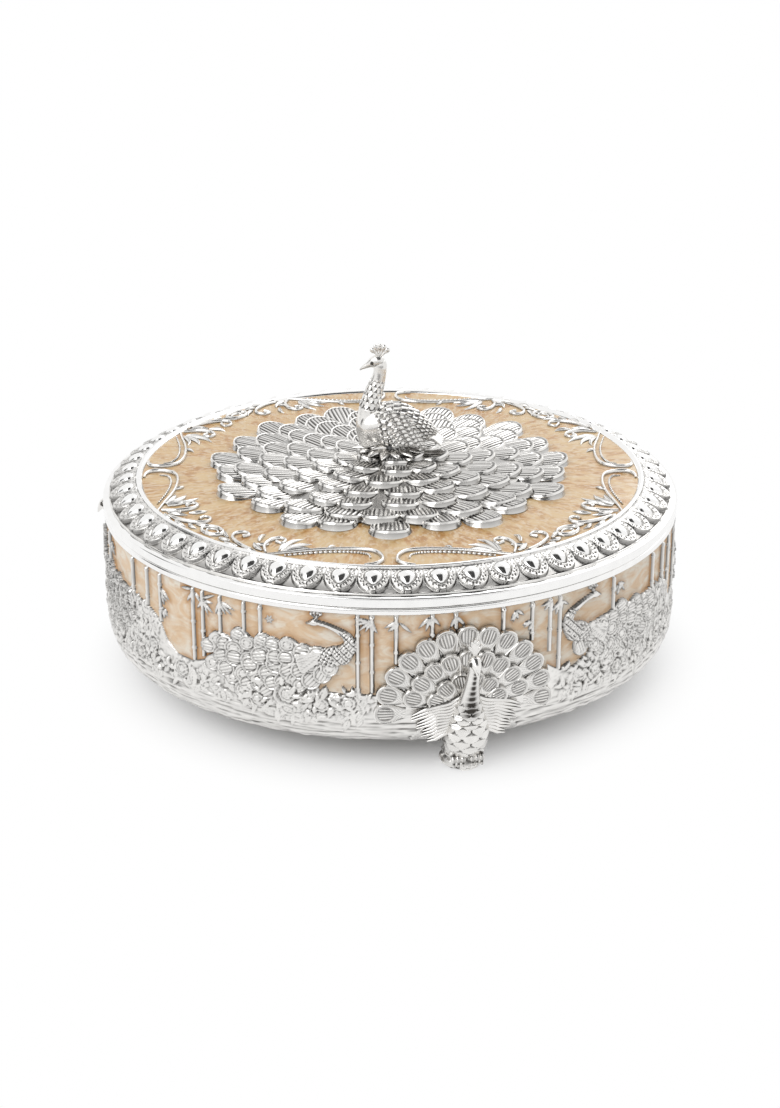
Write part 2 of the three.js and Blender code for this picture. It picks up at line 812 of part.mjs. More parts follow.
// A cartouche between two leaves, midway between two brackets
function leafSpray() {
  const middle = cartoucheShares[0][0];
  const mirrored = leafShares.map(([angle, inward, wide]) => [2 * middle - angle, inward, wide]);
  const limbs = [leafShares, cartoucheShares, mirrored].map((rows) => discLimb(rows, 1, leafSteps));
  return fused([...limbs, wire(leafShares[0][0], mirrored[0][0])]);
}

const bracket = scrollBracket();
const spray = leafSpray();
for (let i = 0; i < bracketCount; i += 1) {
  const turn = (2 * Math.PI * i) / bracketCount;
  part(lid, `scroll_bracket_${i + 1}`, bracket, silver()).rotation.z = turn;
  part(lid, `leaf_spray_${i + 1}`, spray, silver()).rotation.z = turn;
}

// Knob: a seated peacock on the boss, held from below by a stud, washer and nut
const knobBottom = bossTop + gap;
// Rows: place along, height, half height and half width, as shares of the bird's sizes
const knobBodyShares = [
  [0.59, 0.17, 0.06, 0.12],
  [0.45, 0.2, 0.12, 0.3],
  [0.22, 0.22, 0.18, 0.46],
  [-0.05, 0.21, 0.2, 0.5],
  [-0.25, 0.19, 0.18, 0.42],
  [-0.38, 0.18, 0.1, 0.22],
];
const knobNeckShares = [
  [-0.22, 0.12, 0.13, 0.36],
  [-0.26, 0.28, 0.14, 0.34],
  [-0.22, 0.44, 0.1, 0.24],
  [-0.15, 0.6, 0.07, 0.17],
  [-0.12, 0.74, 0.065, 0.16],
  [-0.13, 0.82, 0.06, 0.16],
];
const knobHeadShares = [
  [-0.05, 0.79, 0.05, 0.12],
  [-0.13, 0.8, 0.066, 0.19],
  [-0.22, 0.795, 0.055, 0.14],
  [-0.3, 0.775, 0.03, 0.08],
  [-0.4, 0.75, 0.008, 0.03],
];

function knobStations(shares) {
  return shares.map(([along, height, high, wide]) => [
    along * knobLength,
    knobBottom + height * knobHeight,
    high * knobHeight,
    wide * knobWidth,
  ]);
}

const [crestShare, headMiddleShare, headHalfShare] = knobHeadShares[1];
const crestMiddle = crestShare * knobLength;
const crestBottom = knobBottom + (headMiddleShare + headHalfShare) * knobHeight + gap;
const crestHeight = knobBottom + knobHeight - crestBottom;

function knobPeacock() {
  const bird = fused([
    limb(smooth(knobStations(knobBodyShares), birdSteps), roundSection, atKnob),
    limb(knobStations(knobNeckShares), roundSection, atKnob),
    limb(knobStations(knobHeadShares), roundSection, atKnob),
  ]);
  const below = disc(knobLength, knobBottom - knobHeight, knobBottom, studSides);
  const stud = disc(boreRadius, knobBottom - overrun, knobBottom + studGrip + gap, studSides);
  return cut(bird, [below, stud]);
}
part(lid, 'knob_peacock', knobPeacock(), silver());

const crestPlace = (a, b, c) => atKnob(crestMiddle + a, crestBottom + b, c);
part(lid, 'knob_crest', crestFan(crestWidth, crestHeight, crestThickness, crestPlace), silver());

const washerTop = shellBottom - gap;
const washerBottom = washerTop - washerThickness;
const nutTop = washerBottom - gap;
const nutBottom = nutTop - nutHeight;
const studBottom = nutBottom - nutHeight / 2;
part(lid, 'knob_stud', disc(studRadius, studBottom, knobBottom + studGrip, studSides), steel());
part(lid, 'knob_washer', tube(boreRadius, washerRadius, washerBottom, washerTop, studSides), steel());
part(lid, 'knob_nut', tube(boreRadius, nutRadius, nutBottom, nutTop, nutSides), steel());

// Raised work on the wall, drawn from foot 1 round to the next foot
const level = (share) => fieldBottom + share * fieldHeight;
const panelStart = fanRadius + caneWidth; // round the wall, from the middle of a fan
const panelEnd = (2 * Math.PI * drumRadius) / footCount - panelStart;
const alongPanel = (share) => THREE.MathUtils.lerp(panelStart, panelEnd, share);
const facetArc = radians(facetAngle) * drumRadius;
const facetCorners = Array.from({ length: caseSides / footCount }, (_, i) => i * facetArc)
  .filter((s) => s > panelStart && s < panelEnd); // long raised work turns where the wall's facets do

const ribShares = [0.13, 0.73]; // the rib that joins the fan's rows, from the hub out
const wingShares = [
  [[0.28, 0.16], [0.42, 0.2], [0.56, 0.06]],
  [[0.28, 0.06], [0.4, 0.1], [0.52, -0.03]],
];

function tailFan() {
  const rows = fanRowSizes.map((row, i) => {
    const { count, spread } = fanRows[i];
    const step = radians((2 * spread) / (count - 1));
    const turns = Array.from({ length: count }, (_, j) => j * step - radians(spread));
    return petalRow(row, turns, step / 2, false, (along, turn, across, out) => onWall(
      along * Math.sin(turn) + across * Math.cos(turn),
      fanHubHeight + along * Math.cos(turn) - across * Math.sin(turn),
      out,
    ));
  });
  const wings = wingShares.flatMap((wing) => [1, -1].map((side) => {
    const stations = wing.map(([a, b]) => [
      side * a * fanRadius,
      fanHubHeight + b * fanRadius,
      caneWidth,
      reliefDepth / 2,
    ]);
    return limb(smooth(stations, leafSteps), reliefShares, onWall);
  }));
  const rib = ribShares.map((share) => [0, fanHubHeight + share * fanRadius, caneWidth / 2, fanRoot]);
  return fused([limb(rib, reliefShares, onWall), ...rows, ...wings]);
}
roundTheDrum('fan_relief', tailFan(), silver);

// Peacocks on the wall, looking back over their trains
// Rows: place along the panel, height, half width and relief
const leftBirdShares = {
  train: [
    [0.054, 0.59, 0.11, 0.7],
    [0.11, 0.524, 0.18, 0.8],
    [0.176, 0.44, 0.25, 0.85],
    [0.246, 0.385, 0.24, 0.8],
    [0.312, 0.32, 0.2, 0.75],
    [0.368, 0.255, 0.13, 0.65],
    [0.4, 0.227, 0.055, 0.5],
  ],
  chest: [
    [0.026, 0.55, 0.05, 0.6],
    [0.045, 0.57, 0.1, 0.9],
    [0.08, 0.565, 0.12, 1],
    [0.125, 0.52, 0.06, 0.8],
  ],
  neck: [
    [0.048, 0.55, 0.07, 0.9],
    [0.034, 0.66, 0.055, 0.8],
    [0.037, 0.77, 0.04, 0.7],
    [0.058, 0.86, 0.035, 0.7],
    [0.082, 0.9, 0.035, 0.7],
    [0.119, 0.88, 0.01, 0.4],
  ],
};
const rightBirdShares = {
  train: [
    [0.928, 0.608, 0.11, 0.7],
    [0.881, 0.533, 0.177, 0.8],
    [0.824, 0.42, 0.26, 0.85],
    [0.763, 0.338, 0.24, 0.8],
    [0.707, 0.283, 0.195, 0.75],
    [0.655, 0.245, 0.15, 0.65],
    [0.618, 0.245, 0.074, 0.5],
  ],
  chest: [
    [0.974, 0.57, 0.05, 0.6],
    [0.956, 0.59, 0.1, 0.9],
    [0.92, 0.585, 0.12, 1],
    [0.875, 0.54, 0.06, 0.8],
  ],
  neck: [
    [0.952, 0.57, 0.06, 0.9],
    [0.961, 0.68, 0.05, 0.8],
    [0.953, 0.78, 0.04, 0.7],
    [0.93, 0.87, 0.035, 0.7],
    [0.901, 0.91, 0.035, 0.7],
    [0.869, 0.89, 0.01, 0.4],
  ],
};
const rootShare = 0.5; // relief of a feather's root against its tip
const flankShare = 0.6; // relief at a train's edge against its middle

function wallStations(rows) {
  return rows.map(([place, height, wide, high]) => [
    alongPanel(place),
    level(height),
    wide * fieldHeight,
    high * reliefDepth,
  ]);
}

// Rows of feathers: each row climbs from its roots to its tips, then drops to the roots of the next
function featherTrain(rows) {
  const lines = smooth(wallStations(rows), trainRows);
  const columns = 2 * trainTips;
  const rings = lines.flatMap(([u, v, wide, high], i) => {
    const before = lines[Math.max(i - 1, 0)];
    const after = lines[Math.min(i + 1, trainRows)];
    const along = new THREE.Vector2(after[0] - before[0], after[1] - before[1]).normalize();
    const at = (across, ahead, out) => onWall(
      u + along.x * ahead - along.y * wide * across,
      v + along.y * ahead + along.x * wide * across,
      out,
    );
    const ring = (share, ahead) => {
      const feathers = Array.from({ length: columns + 1 }, (_, j) => {
        const across = (2 * j) / columns - 1;
        const isTip = i > 0 && i < trainRows && (i + j) % 2 === 0;
        const out = high * share * (1 - (1 - flankShare) * across * across);
        return at(across, ahead + (isTip ? tipReach : 0), out);
      });
      return [at(0, ahead, 0), at(-1, ahead, 0), ...feathers, at(1, ahead, 0)];
    };
    if (i === 0) return [ring(rootShare, 0)];
    return i < trainRows ? [ring(1, 0), ring(rootShare, gap)] : [ring(1, 0)];
  });
  return loft(rings);
}

function wallPeacock({ train, chest, neck }) {
  return fused([
    featherTrain(train),
    limb(smooth(wallStations(chest), leafSteps), reliefShares, onWall),
    limb(smooth(wallStations(neck), birdSteps), reliefShares, onWall),
  ]);
}
roundTheDrum('peacock_left', wallPeacock(leftBirdShares), silver);
roundTheDrum('peacock_right', wallPeacock(rightBirdShares), silver);

// Bamboo: canes with nodes. Rows: place along the panel and lower end
const caneShares = [
  [0, 0.31], [0.346, 0.63], [0.47, 0.54], [0.573, 0.31], [0.609, 0.4], [0.66, 0.5], [0.765, 0.66], [1, 0.31],
];

function cane(place, low) {
  const top = level(1);
  const bottom = level(low);
  const count = Math.max(1, Math.round((top - bottom) / canePitch));
  const stations = Array.from({ length: 2 * count + 1 }, (_, i) => [
    alongPanel(place),
    top - ((top - bottom) * i) / (2 * count),
    i % 2 === 0 ? caneWidth / 2 : caneWidth / 3,
    reliefDepth / 2,
  ]);
  return limb(stations, ridgeShares, onWall);
}

// The canes hang from a narrow rail under the rim bead
function bamboo() {
  const rail = [panelStart, ...facetCorners, panelEnd].map((s) => [
    s,
    level(1) - railWidth / 2,
    railWidth / 2,
    railWidth / 2,
  ]);
  return fused([limb(rail, reliefShares, onWall), ...caneShares.map(([place, low]) => cane(place, low))]);
}
roundTheDrum('bamboo', bamboo(), silver);

// Bank of leaves and peonies along the foot of the wall, up to the trains
// Rows: place along the panel and height of the bank's upper edge
const bankEdgeShares = [
  [0, 0.27], [0.06, 0.255], [0.11, 0.23], [0.148, 0.185], [0.19, 0.145], [0.246, 0.115], [0.312, 0.095],
  [0.368, 0.1], [0.401, 0.14], [0.42, 0.44], [0.444, 0.55], [0.472, 0.48], [0.495, 0.34], [0.535, 0.27],
  [0.599, 0.27], [0.622, 0.1], [0.655, 0.06], [0.707, 0.06], [0.763, 0.065], [0.824, 0.105], [0.881, 0.17],
  [0.94, 0.235], [1, 0.27],
];
// Relief at each level of the bank, in turn, and the shares of its height at which those levels lie
const bankReliefShares = [[0.35, 0.8, 0.4, 0.25], [0.35, 0.4, 0.75, 0.25]];
const bankLevelShares = [0, 0.4, 0.75, 1];
const peonyShares = [[0.06, 0.13], [0.445, 0.42], [0.55, 0.13], [0.95, 0.13]];
const petalCount = 5;
const petalDipShare = 0.7;
const peonyFootShare = 0.2; // relief at which a peony rises out of the bank

function peony(place, height) {
  const ring = (scale, out) => Array.from({ length: 2 * petalCount }, (_, i) => {
    const turn = (i * Math.PI) / petalCount;
    const r = peonyRadius * scale * (i % 2 === 0 ? 1 : petalDipShare);
    return onWall(alongPanel(place) + r * Math.sin(turn), level(height) + r * Math.cos(turn), out);
  });
  return loft([ring(1, peonyFootShare * reliefDepth), ring(petalDipShare, reliefDepth)]);
}

function peonyBank() {
  const rings = bankEdgeShares.map(([place, edge], i) => {
    const relief = bankReliefShares[i % bankReliefShares.length];
    const at = (share, out) => onWall(alongPanel(place), level(share * edge), out);
    return [at(0, 0), ...bankLevelShares.map((share, j) => at(share, relief[j] * reliefDepth)), at(1, 0)];
  });
  return fused([loft(rings), ...peonyShares.map(([place, height]) => peony(place, height))]);
}
roundTheDrum('peony_bank', peonyBank(), silver);

// Tray: floor, wall, centre cup and four dividers
const trayOuter = wallInner - slideGap;
const trayFloorBottom = padTop + gap;
const trayFloorTop = trayFloorBottom + traySheet;
const trayWallBottom = trayFloorTop + gap;
const trayTop = trayFloorBottom + trayHeight;
const trayInner = trayOuter - traySheet;
part(root, 'tray_floor', disc(trayOuter, trayFloorBottom, trayFloorTop, caseSides), silver());
part(root, 'tray_wall', tube(trayInner, trayOuter, trayWallBottom, trayTop, caseSides), silver());
part(root, 'tray_cup', tube(cupRadius - traySheet, cupRadius, trayWallBottom, trayTop, cupSides), silver());

const dividerStart = cupRadius + gap;
const dividerEnd = trayInner * Math.cos(Math.PI / caseSides) - gap;
for (let i = 0; i < dividerCount; i += 1) {
  const plate = new THREE.BoxGeometry(dividerEnd - dividerStart, traySheet, trayTop - trayWallBottom);
  plate.translate((dividerStart + dividerEnd) / 2, 0, (trayTop + trayWallBottom) / 2);
  const mesh = part(root, `tray_divider_${i + 1}`, facingOut(welded(plate)), silver());
  mesh.rotation.z = radians((360 / dividerCount) * (i + 0.5));
}

// The origin lies under the middle of the bounding box, at the height of the soles
root.updateMatrixWorld(true);
const bounds = new THREE.Box3().setFromObject(root, true);
const middle = bounds.getCenter(new THREE.Vector3());
root.position.set(-middle.x, -middle.y, -bounds.min.z);

export default root;
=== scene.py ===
"""Looks of the dry fruit box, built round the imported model.

Tables and working values are millimetres and degrees; the meshes are metres in the model's own frame.
Angles round the drum count from foot 1, the foot at the front, towards +X.
"""
import math

import bpy
import numpy as np
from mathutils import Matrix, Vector

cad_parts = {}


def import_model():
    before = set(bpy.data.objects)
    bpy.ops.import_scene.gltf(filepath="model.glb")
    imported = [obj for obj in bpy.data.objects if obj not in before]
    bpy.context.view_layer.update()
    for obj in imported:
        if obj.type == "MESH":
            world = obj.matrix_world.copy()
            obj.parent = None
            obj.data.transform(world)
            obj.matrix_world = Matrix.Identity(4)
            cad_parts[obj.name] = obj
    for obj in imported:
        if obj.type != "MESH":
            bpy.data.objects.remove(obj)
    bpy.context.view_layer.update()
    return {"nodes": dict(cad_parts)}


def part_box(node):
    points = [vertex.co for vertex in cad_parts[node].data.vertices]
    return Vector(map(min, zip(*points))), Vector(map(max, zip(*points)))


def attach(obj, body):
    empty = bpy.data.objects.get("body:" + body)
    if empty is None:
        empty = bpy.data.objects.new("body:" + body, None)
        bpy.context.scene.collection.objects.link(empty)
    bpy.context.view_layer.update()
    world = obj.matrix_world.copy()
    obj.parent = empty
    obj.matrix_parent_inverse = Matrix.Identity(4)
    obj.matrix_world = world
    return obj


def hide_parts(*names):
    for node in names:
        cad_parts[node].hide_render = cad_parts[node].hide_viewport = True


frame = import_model()
MM = 0.001
RADIAN = math.pi / 180
TAU = 2 * math.pi


# Sizes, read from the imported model
def low(node):
    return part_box(node)[0] / MM


def high(node):
    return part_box(node)[1] / MM


def radius(node):
    return (high(node).x - low(node).x) / 2


AXIS = (low("case_wall") + high("case_wall")) / 2
DRUM = radius("enamel_band")
BASE_Z = low("base_moulding").z
FIELD_TOP = high("enamel_band").z
FOOT_COUNT = 3
FOOT_STEP = TAU / FOOT_COUNT
LID_TURN = -14
DISC_TOP = high("enamel_disc").z
DISC_RADIUS = radius("enamel_disc")
BORDER_FOOT = low("egg_border").z
SKIN_GAP = 0.3        # dressed surfaces stand this far off the model's facets
SHARP_FOLD = 42       # degrees; sharper folds show as edges
FAR_OUT = -60.0       # inside distance where there is no shape
UP = ("along", (0, 0, 1))       # which way a surface faces
OUTWARDS = ("from", AXIS)

# Sizes of the relief
PITCH = 0.48          # spacing of the wall's mesh
CORNER_INSET = 8      # how far the base turns in
CORNER_RISE = 10
PERIOD = TAU * DRUM / FOOT_COUNT
FAN_HUB = 32
FAN_RADIUS = 40
BANK = 0.9            # silver ground above the enamel
CANE_WIDTH = 2.3
CANE_JOINT = 14       # between a bamboo cane's nodes


# Mesh making
def new_object(name, data):
    made = bpy.data.objects.new(name, data)
    bpy.context.scene.collection.objects.link(made)
    return made


def from_axis(x, y, z):
    """Points at a place counted from the box's axis."""
    return np.stack(np.broadcast_arrays(AXIS.x + x, AXIS.y + y, z), -1)


def rotated(x, y, angle):
    """x and y turned by an angle in radians."""
    c, s = math.cos(angle), math.sin(angle)
    return x * c - y * s, x * s + y * c


def round_drum(r, angle, z):
    """A point at an angle round the drum, counted in radians from foot 1 towards +X."""
    return from_axis(r * np.sin(angle), -r * np.cos(angle), z)


def round_wall(angle):
    """The distance round the wall of an angle in degrees."""
    return angle * RADIAN * DRUM


class Pieces:
    """Patches of quads that become one object, with a tone of painted shade (0 bright, 1 dark) and a cover (metal where
    positive).
    """

    def __init__(self):
        self.points, self.quads, self.tone, self.cover = [], [], [], []
        self.count = 0

    def grid(self, points, outward, wrap=False, tone=None, cover=None):
        """Adds a grid of points (rows, columns, 3). outward is "from" a point inside it or "along" a direction."""
        rows, columns = points.shape[:2]
        i = np.arange(rows - 1)[:, None]
        j = np.arange(columns if wrap else columns - 1)[None, :]
        after = (j + 1) % columns
        quads = np.stack([i * columns + j, i * columns + after,
                          (i + 1) * columns + after, (i + 1) * columns + j], -1).reshape(-1, 4)
        flat = points.reshape(-1, 3)
        a, b, c, d = (flat[quads[:, k]] for k in range(4))
        normal = np.cross(c - a, d - b)
        kind, value = outward
        facing = (a + c) / 2 - np.asarray(value, float) if kind == "from" else np.asarray(value, float)
        if (normal * facing).sum() < 0:
            quads = quads[:, ::-1]
        self.quads.append(quads + self.count)
        self.points.append(flat)
        self.tone.append(np.zeros(len(flat)) if tone is None else np.broadcast_to(tone, (rows, columns)).ravel())
        self.cover.append(np.ones(len(flat)) if cover is None else cover.ravel())
        self.count += len(flat)
        return self

    def limb(self, outward, stations, place, count, sides, pattern=None, arc=(0, 360)):
        points, tone = swept(stations, place, count, sides, pattern, arc)
        return self.grid(points, outward, wrap=arc[1] - arc[0] >= 360, tone=tone)

    def object(self, name, body, material, replaces=(), edges=True):
        points = np.concatenate(self.points) * MM
        quads = np.concatenate(self.quads).astype(np.int32)
        mesh = bpy.data.meshes.new(name)
        mesh.vertices.add(len(points))
        mesh.vertices.foreach_set("co", points.astype(np.float32).ravel())
        mesh.loops.add(quads.size)
        mesh.loops.foreach_set("vertex_index", quads.ravel())
        mesh.polygons.add(len(quads))
        mesh.polygons.foreach_set("loop_start", np.arange(0, quads.size, 4, dtype=np.int32))
        mesh.update(calc_edges=True)
        mesh.polygons.foreach_set("use_smooth", np.ones(len(quads), bool))
        for title, values in (("tone", self.tone), ("cover", self.cover)):
            layer = mesh.attributes.new(title, "FLOAT", "POINT")
            layer.data.foreach_set("value", np.concatenate(values).astype(np.float32))
        mesh.validate()
        if edges:
            mesh.set_sharp_from_angle(angle=SHARP_FOLD * RADIAN)
        mesh.materials.append(material)
        made = new_object(name, mesh)
        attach(made, body)
        if replaces:
            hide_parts(*replaces)


def lathe(profile, sides):
    """A closed turn of a profile of (radius, height) rows."""
    profile = np.asarray(profile, float)
    angle = np.linspace(0, TAU, sides, endpoint=False)[None, :]
    return round_drum(profile[:, :1], angle, profile[:, 1:])


def turned_piece(name, body, material, profile, replaced, outward=OUTWARDS, sides=360, tone=None):
    """A smooth turned piece that stands for one piece of the model."""
    pieces = Pieces().grid(lathe(profile, sides), outward, wrap=True, tone=tone)
    pieces.object(name, body, material, [replaced])


def rounded(corners, cut):
    """The profile with each inner corner rounded off by about the length cut."""
    corners = np.asarray(corners, float)
    rows = [corners[0]]
    for before, at, after in zip(corners, corners[1:], corners[2:]):
        reach = min(cut, np.linalg.norm(before - at) / 2, np.linalg.norm(after - at) / 2)
        start = at + (before - at) / np.linalg.norm(before - at) * reach
        end = at + (after - at) / np.linalg.norm(after - at) * reach
        for t in np.linspace(0, 1, 5):
            rows.append((1 - t) ** 2 * start + 2 * t * (1 - t) * at + t ** 2 * end)
    rows.append(corners[-1])
    return np.array(rows)


def smooth(rows, count):
    """A table resampled on a smooth curve through its rows."""
    rows = np.asarray(rows, float)
    padded = np.vstack([2 * rows[0] - rows[1], rows, 2 * rows[-1] - rows[-2]])
    t = np.linspace(0, len(rows) - 1 - 1e-9, count)
    i = t.astype(int)
    f = (t - i)[:, None]
    p0, p1, p2, p3 = (padded[i + k] for k in range(4))
    return 0.5 * (2 * p1 + (p2 - p0) * f + (2 * p0 - 5 * p1 + 4 * p2 - p3) * f ** 2
                  + (3 * p1 - p0 - 3 * p2 + p3) * f ** 3)


def swept(stations, place, count, sides, pattern, arc):
    """Points and tone of a limb with closed ends, through rows of (u, v, half width in the plane, half depth).

    A pattern gives what to add to the girth, and the tone, along the limb and round it.
    """
    rows = smooth(stations, count)
    along = np.gradient(rows[:, :2], axis=0)
    along /= np.linalg.norm(along, axis=1)[:, None] + 1e-9
    full = arc[1] - arc[0] >= 360
    turn = np.linspace(arc[0], arc[1], sides, endpoint=not full) * RADIAN
    t = np.linspace(0, 1, count)[:, None]
    grow, tone = pattern(t, turn[None, :]) if pattern else (0, 0)
    grow, tone = (np.broadcast_to(value, (count, sides)) for value in (grow, tone))
    wide = (rows[:, 2:3] + grow) * np.cos(turn)
    deep = (rows[:, 3:4] + grow) * np.sin(turn)
    u = rows[:, :1] - along[:, 1:] * wide
    v = rows[:, 1:2] + along[:, :1] * wide
    points = place(u, v, deep)
    ends = [np.repeat(points[[k]].mean(1, keepdims=True), sides, 1) for k in (0, -1)]
    return np.concatenate([ends[0], points, ends[1]]), np.pad(tone, ((1, 1), (0, 0)), mode="edge")


def painted_recess_shade(height, reach, depth):
    """Painted shade in the recesses: how far each point lies below its surroundings, from 0 to 1."""
    kernel = np.hanning(2 * reach + 3)[1:-1]
    kernel /= kernel.sum()
    around = np.pad(height, reach, mode="edge")
    for axis in (0, 1):
        around = np.apply_along_axis(lambda row: np.convolve(row, kernel, mode="valid"), axis, around)
    return np.clip((around - height) / depth, 0, 1)


NOISE_ROWS = 64


def noise(x, y, seed, wrap):
    """Smooth value noise, 0 to 1, that repeats every wrap cells of x."""
    grid = np.random.default_rng(seed).random((wrap, NOISE_ROWS))
    i, j = np.floor(x).astype(int), np.floor(y).astype(int)
    fx, fy = x - i, y - j
    fx, fy = fx * fx * (3 - 2 * fx), fy * fy * (3 - 2 * fy)

    def at(a, b):
        return grid[a % wrap, b % NOISE_ROWS]
    near = at(i, j) * (1 - fx) + at(i + 1, j) * fx
    far = at(i, j + 1) * (1 - fx) + at(i + 1, j + 1) * fx
    return near * (1 - fy) + far * fy


# Materials
def node_tree(name):
    material = bpy.data.materials.new(name)
    material.use_nodes = True
    tree = material.node_tree
    return material, tree, tree.nodes["Principled BSDF"]


def dress(tree, node, inputs):
    """Sets a node's inputs: links another node's output, or sets a number, vector or colour on the socket."""
    for title, value in inputs.items():
        socket = node.inputs[title]
        if isinstance(value, bpy.types.NodeSocket):
            tree.links.new(value, socket)
        else:
            socket.default_value = (*value, 1) if socket.type == "RGBA" else value


def add(tree, kind, inputs, **settings):
    made = tree.nodes.new(kind)
    for title, value in settings.items():
        setattr(made, title, value)
    dress(tree, made, inputs)
    return made


def attribute(tree, title):
    return add(tree, "ShaderNodeAttribute", {}, attribute_name=title).outputs["Fac"]


def maths(tree, operation, *values, clamp=False):
    return add(tree, "ShaderNodeMath", dict(enumerate(values)), operation=operation, use_clamp=clamp).outputs[0]


def vector(tree, operation, *values):
    return add(tree, "ShaderNodeVectorMath", dict(enumerate(values)), operation=operation).outputs


def contrast(tree, value, gain, offset):
    """value * gain + offset, kept between 0 and 1."""
    return maths(tree, "MULTIPLY_ADD", value, gain, offset, clamp=True)


def mix(tree, factor, first, second):
    return add(tree, "ShaderNodeMix", {0: factor, 6: first, 7: second}, data_type="RGBA").outputs[2]


def object_place(tree):
    return add(tree, "ShaderNodeTexCoord", {}).outputs["Object"]


def noise_at(tree, scale, detail, where=None, distortion=0):
    inputs = {"Vector": where or object_place(tree), "Scale": scale, "Detail": detail, "Distortion": distortion}
    return add(tree, "ShaderNodeTexNoise", inputs).outputs["Fac"]


def bump(tree, shader, height, distance, strength=1.0):
    made = add(tree, "ShaderNodeBump", {"Height": height, "Distance": distance, "Strength": strength})
    dress(tree, shader, {"Normal": made.outputs["Normal"]})


SILVER = (0.89, 0.875, 0.85)
SILVER_BRIGHT = (0.95, 0.945, 0.935)
# the colour of the painted shade on silver, where the tone is 1
SILVER_SHADE = (0.055, 0.05, 0.045)
PEARL = (0.80, 0.59, 0.39)
PEARL_LIGHT = (0.88, 0.80, 0.68)
AMBER = (0.50, 0.24, 0.07)
LID_CREAM = (0.95, 0.86, 0.66)
LID_PALE = (0.87, 0.68, 0.37)
LID_WARM = (0.70, 0.37, 0.11)
LID_AMBER = (0.50, 0.24, 0.06)
STEEL_GREY = (0.55, 0.56, 0.57)
FELT_DARK = (0.10, 0.02, 0.035)
FELT_LIGHT = (0.17, 0.04, 0.06)


def silver_colour(tree, base=SILVER, clouding=0.14):
    """Bright metal with faint clouding, darkened by painted shade in its recesses and grooves, as the tone attribute
    gives it.
    """
    cloud = contrast(tree, noise_at(tree, 160, 5), 2.4, -0.7)
    bright = mix(tree, cloud, base, tuple((1 - clouding) * c for c in base))
    return mix(tree, attribute(tree, "tone"), bright, SILVER_SHADE)


def silver(name, rough, grain=0.00003, base=SILVER, clouding=0.14):
    """A silver of its own roughness, with a fine grain in metres."""
    material, tree, shader = node_tree(name)
    rough = maths(tree, "MULTIPLY_ADD", noise_at(tree, 240, 4), 0.14, rough - 0.07)
    dress(tree, shader, {"Metallic": 1, "Base Color": silver_colour(tree, base, clouding), "Roughness": rough})
    if grain:
        bump(tree, shader, noise_at(tree, 900, 2), grain)
    return material


def pearl_colour(tree, edge):
    """Pearly enamel: pale streaks over peach, amber where it pools against the metal."""
    where = add(tree, "ShaderNodeMapping", {"Vector": object_place(tree), "Scale": (1, 1, 2)}).outputs["Vector"]
    streak = contrast(tree, noise_at(tree, 52, 9, where, 1.8), 5.0, -2.1)
    shimmer = contrast(tree, noise_at(tree, 110, 6, where, 2.4), 4.0, -2.05)
    peach = tuple(0.5 * (a + b) for a, b in zip(PEARL, AMBER))
    pale = mix(tree, streak, PEARL, PEARL_LIGHT)
    pale = mix(tree, maths(tree, "MULTIPLY", shimmer, 0.55), pale, peach)
    return mix(tree, edge, pale, AMBER)


def wall_material():
    """Silver where the cover is positive and enamel where it is negative."""
    material, tree, shader = node_tree("silver_over_pearl_enamel")
    cover = attribute(tree, "cover")
    metal = contrast(tree, cover, 5.0, 0.5)
    pool = maths(tree, "POWER", contrast(tree, cover, 0.3, 1.0), 1.3)
    edge = maths(tree, "MULTIPLY", pool, contrast(tree, noise_at(tree, 26, 5), 4.0, -1.4))
    colour = mix(tree, metal, pearl_colour(tree, edge), silver_colour(tree))
    rough = maths(tree, "MULTIPLY_ADD", metal, -0.08, 0.36)
    dress(tree, shader, {"Base Color": colour, "Metallic": metal, "Roughness": rough})
    return material


def disc_material():
    """The lid's enamel, streaked outwards from the middle."""
    material, tree, shader = node_tree("radial_amber_enamel")
    outwards = vector(tree, "SUBTRACT", object_place(tree), (AXIS.x * MM, AXIS.y * MM, 0))[0]
    length = vector(tree, "LENGTH", outwards)["Value"]
    climb = add(tree, "ShaderNodeCombineXYZ", {"Z": maths(tree, "MULTIPLY", length, 5.0)}).outputs[0]
    polar = vector(tree, "MULTIPLY_ADD", vector(tree, "NORMALIZE", outwards)[0], (4.5, 4.5, 0), climb)[0]
    streak = noise_at(tree, 11, 6, polar, 0.5)
    hair = contrast(tree, streak, 8.0, -3.7)
    fur = contrast(tree, noise_at(tree, 18, 5, polar, 0.4), 9.0, -4.5)
    broad = contrast(tree, noise_at(tree, 3.2, 5, polar, 1.0), 5.0, -2.0)
    rim = contrast(tree, length, 40.0, -4.3)
    colour = mix(tree, broad, mix(tree, hair, LID_AMBER, LID_WARM), LID_PALE)
    for place, share, tint in ((hair, 0.6, LID_PALE), (fur, 0.75, LID_CREAM), (rim, 0.4, LID_AMBER)):
        colour = mix(tree, maths(tree, "MULTIPLY", place, share), colour, tint)
    dress(tree, shader, {"Base Color": colour, "Roughness": 0.38, "Coat Weight": 0.35, "Coat Roughness": 0.12})
    bump(tree, shader, streak, 0.0004, 0.8)
    return material


def felt_material():
    material, tree, shader = node_tree("wine_felt")
    fibre = noise_at(tree, 700, 4)
    colour = mix(tree, fibre, FELT_DARK, FELT_LIGHT)
    dress(tree, shader, {"Base Color": colour, "Roughness": 0.95, "Sheen Weight": 0.4})
    bump(tree, shader, fibre, 0.0003)
    return material


ORNATE = silver("silver_ornate", 0.22)
POLISHED = silver("silver_polished", 0.12, 0, SILVER_BRIGHT, 0.05)
SATIN = silver("silver_satin", 0.34)
STEEL = silver("plain_steel", 0.35, base=STEEL_GREY)
WALL = wall_material()
DISC = disc_material()
FELT = felt_material()


# Camera, at the photograph's place
CAMERA_TURN = -14
CAMERA_DISTANCE = 1097
CAMERA_PITCH = 22.78
TARGET_Z = 50.6
FOCAL = 66.62
SENSOR = 36

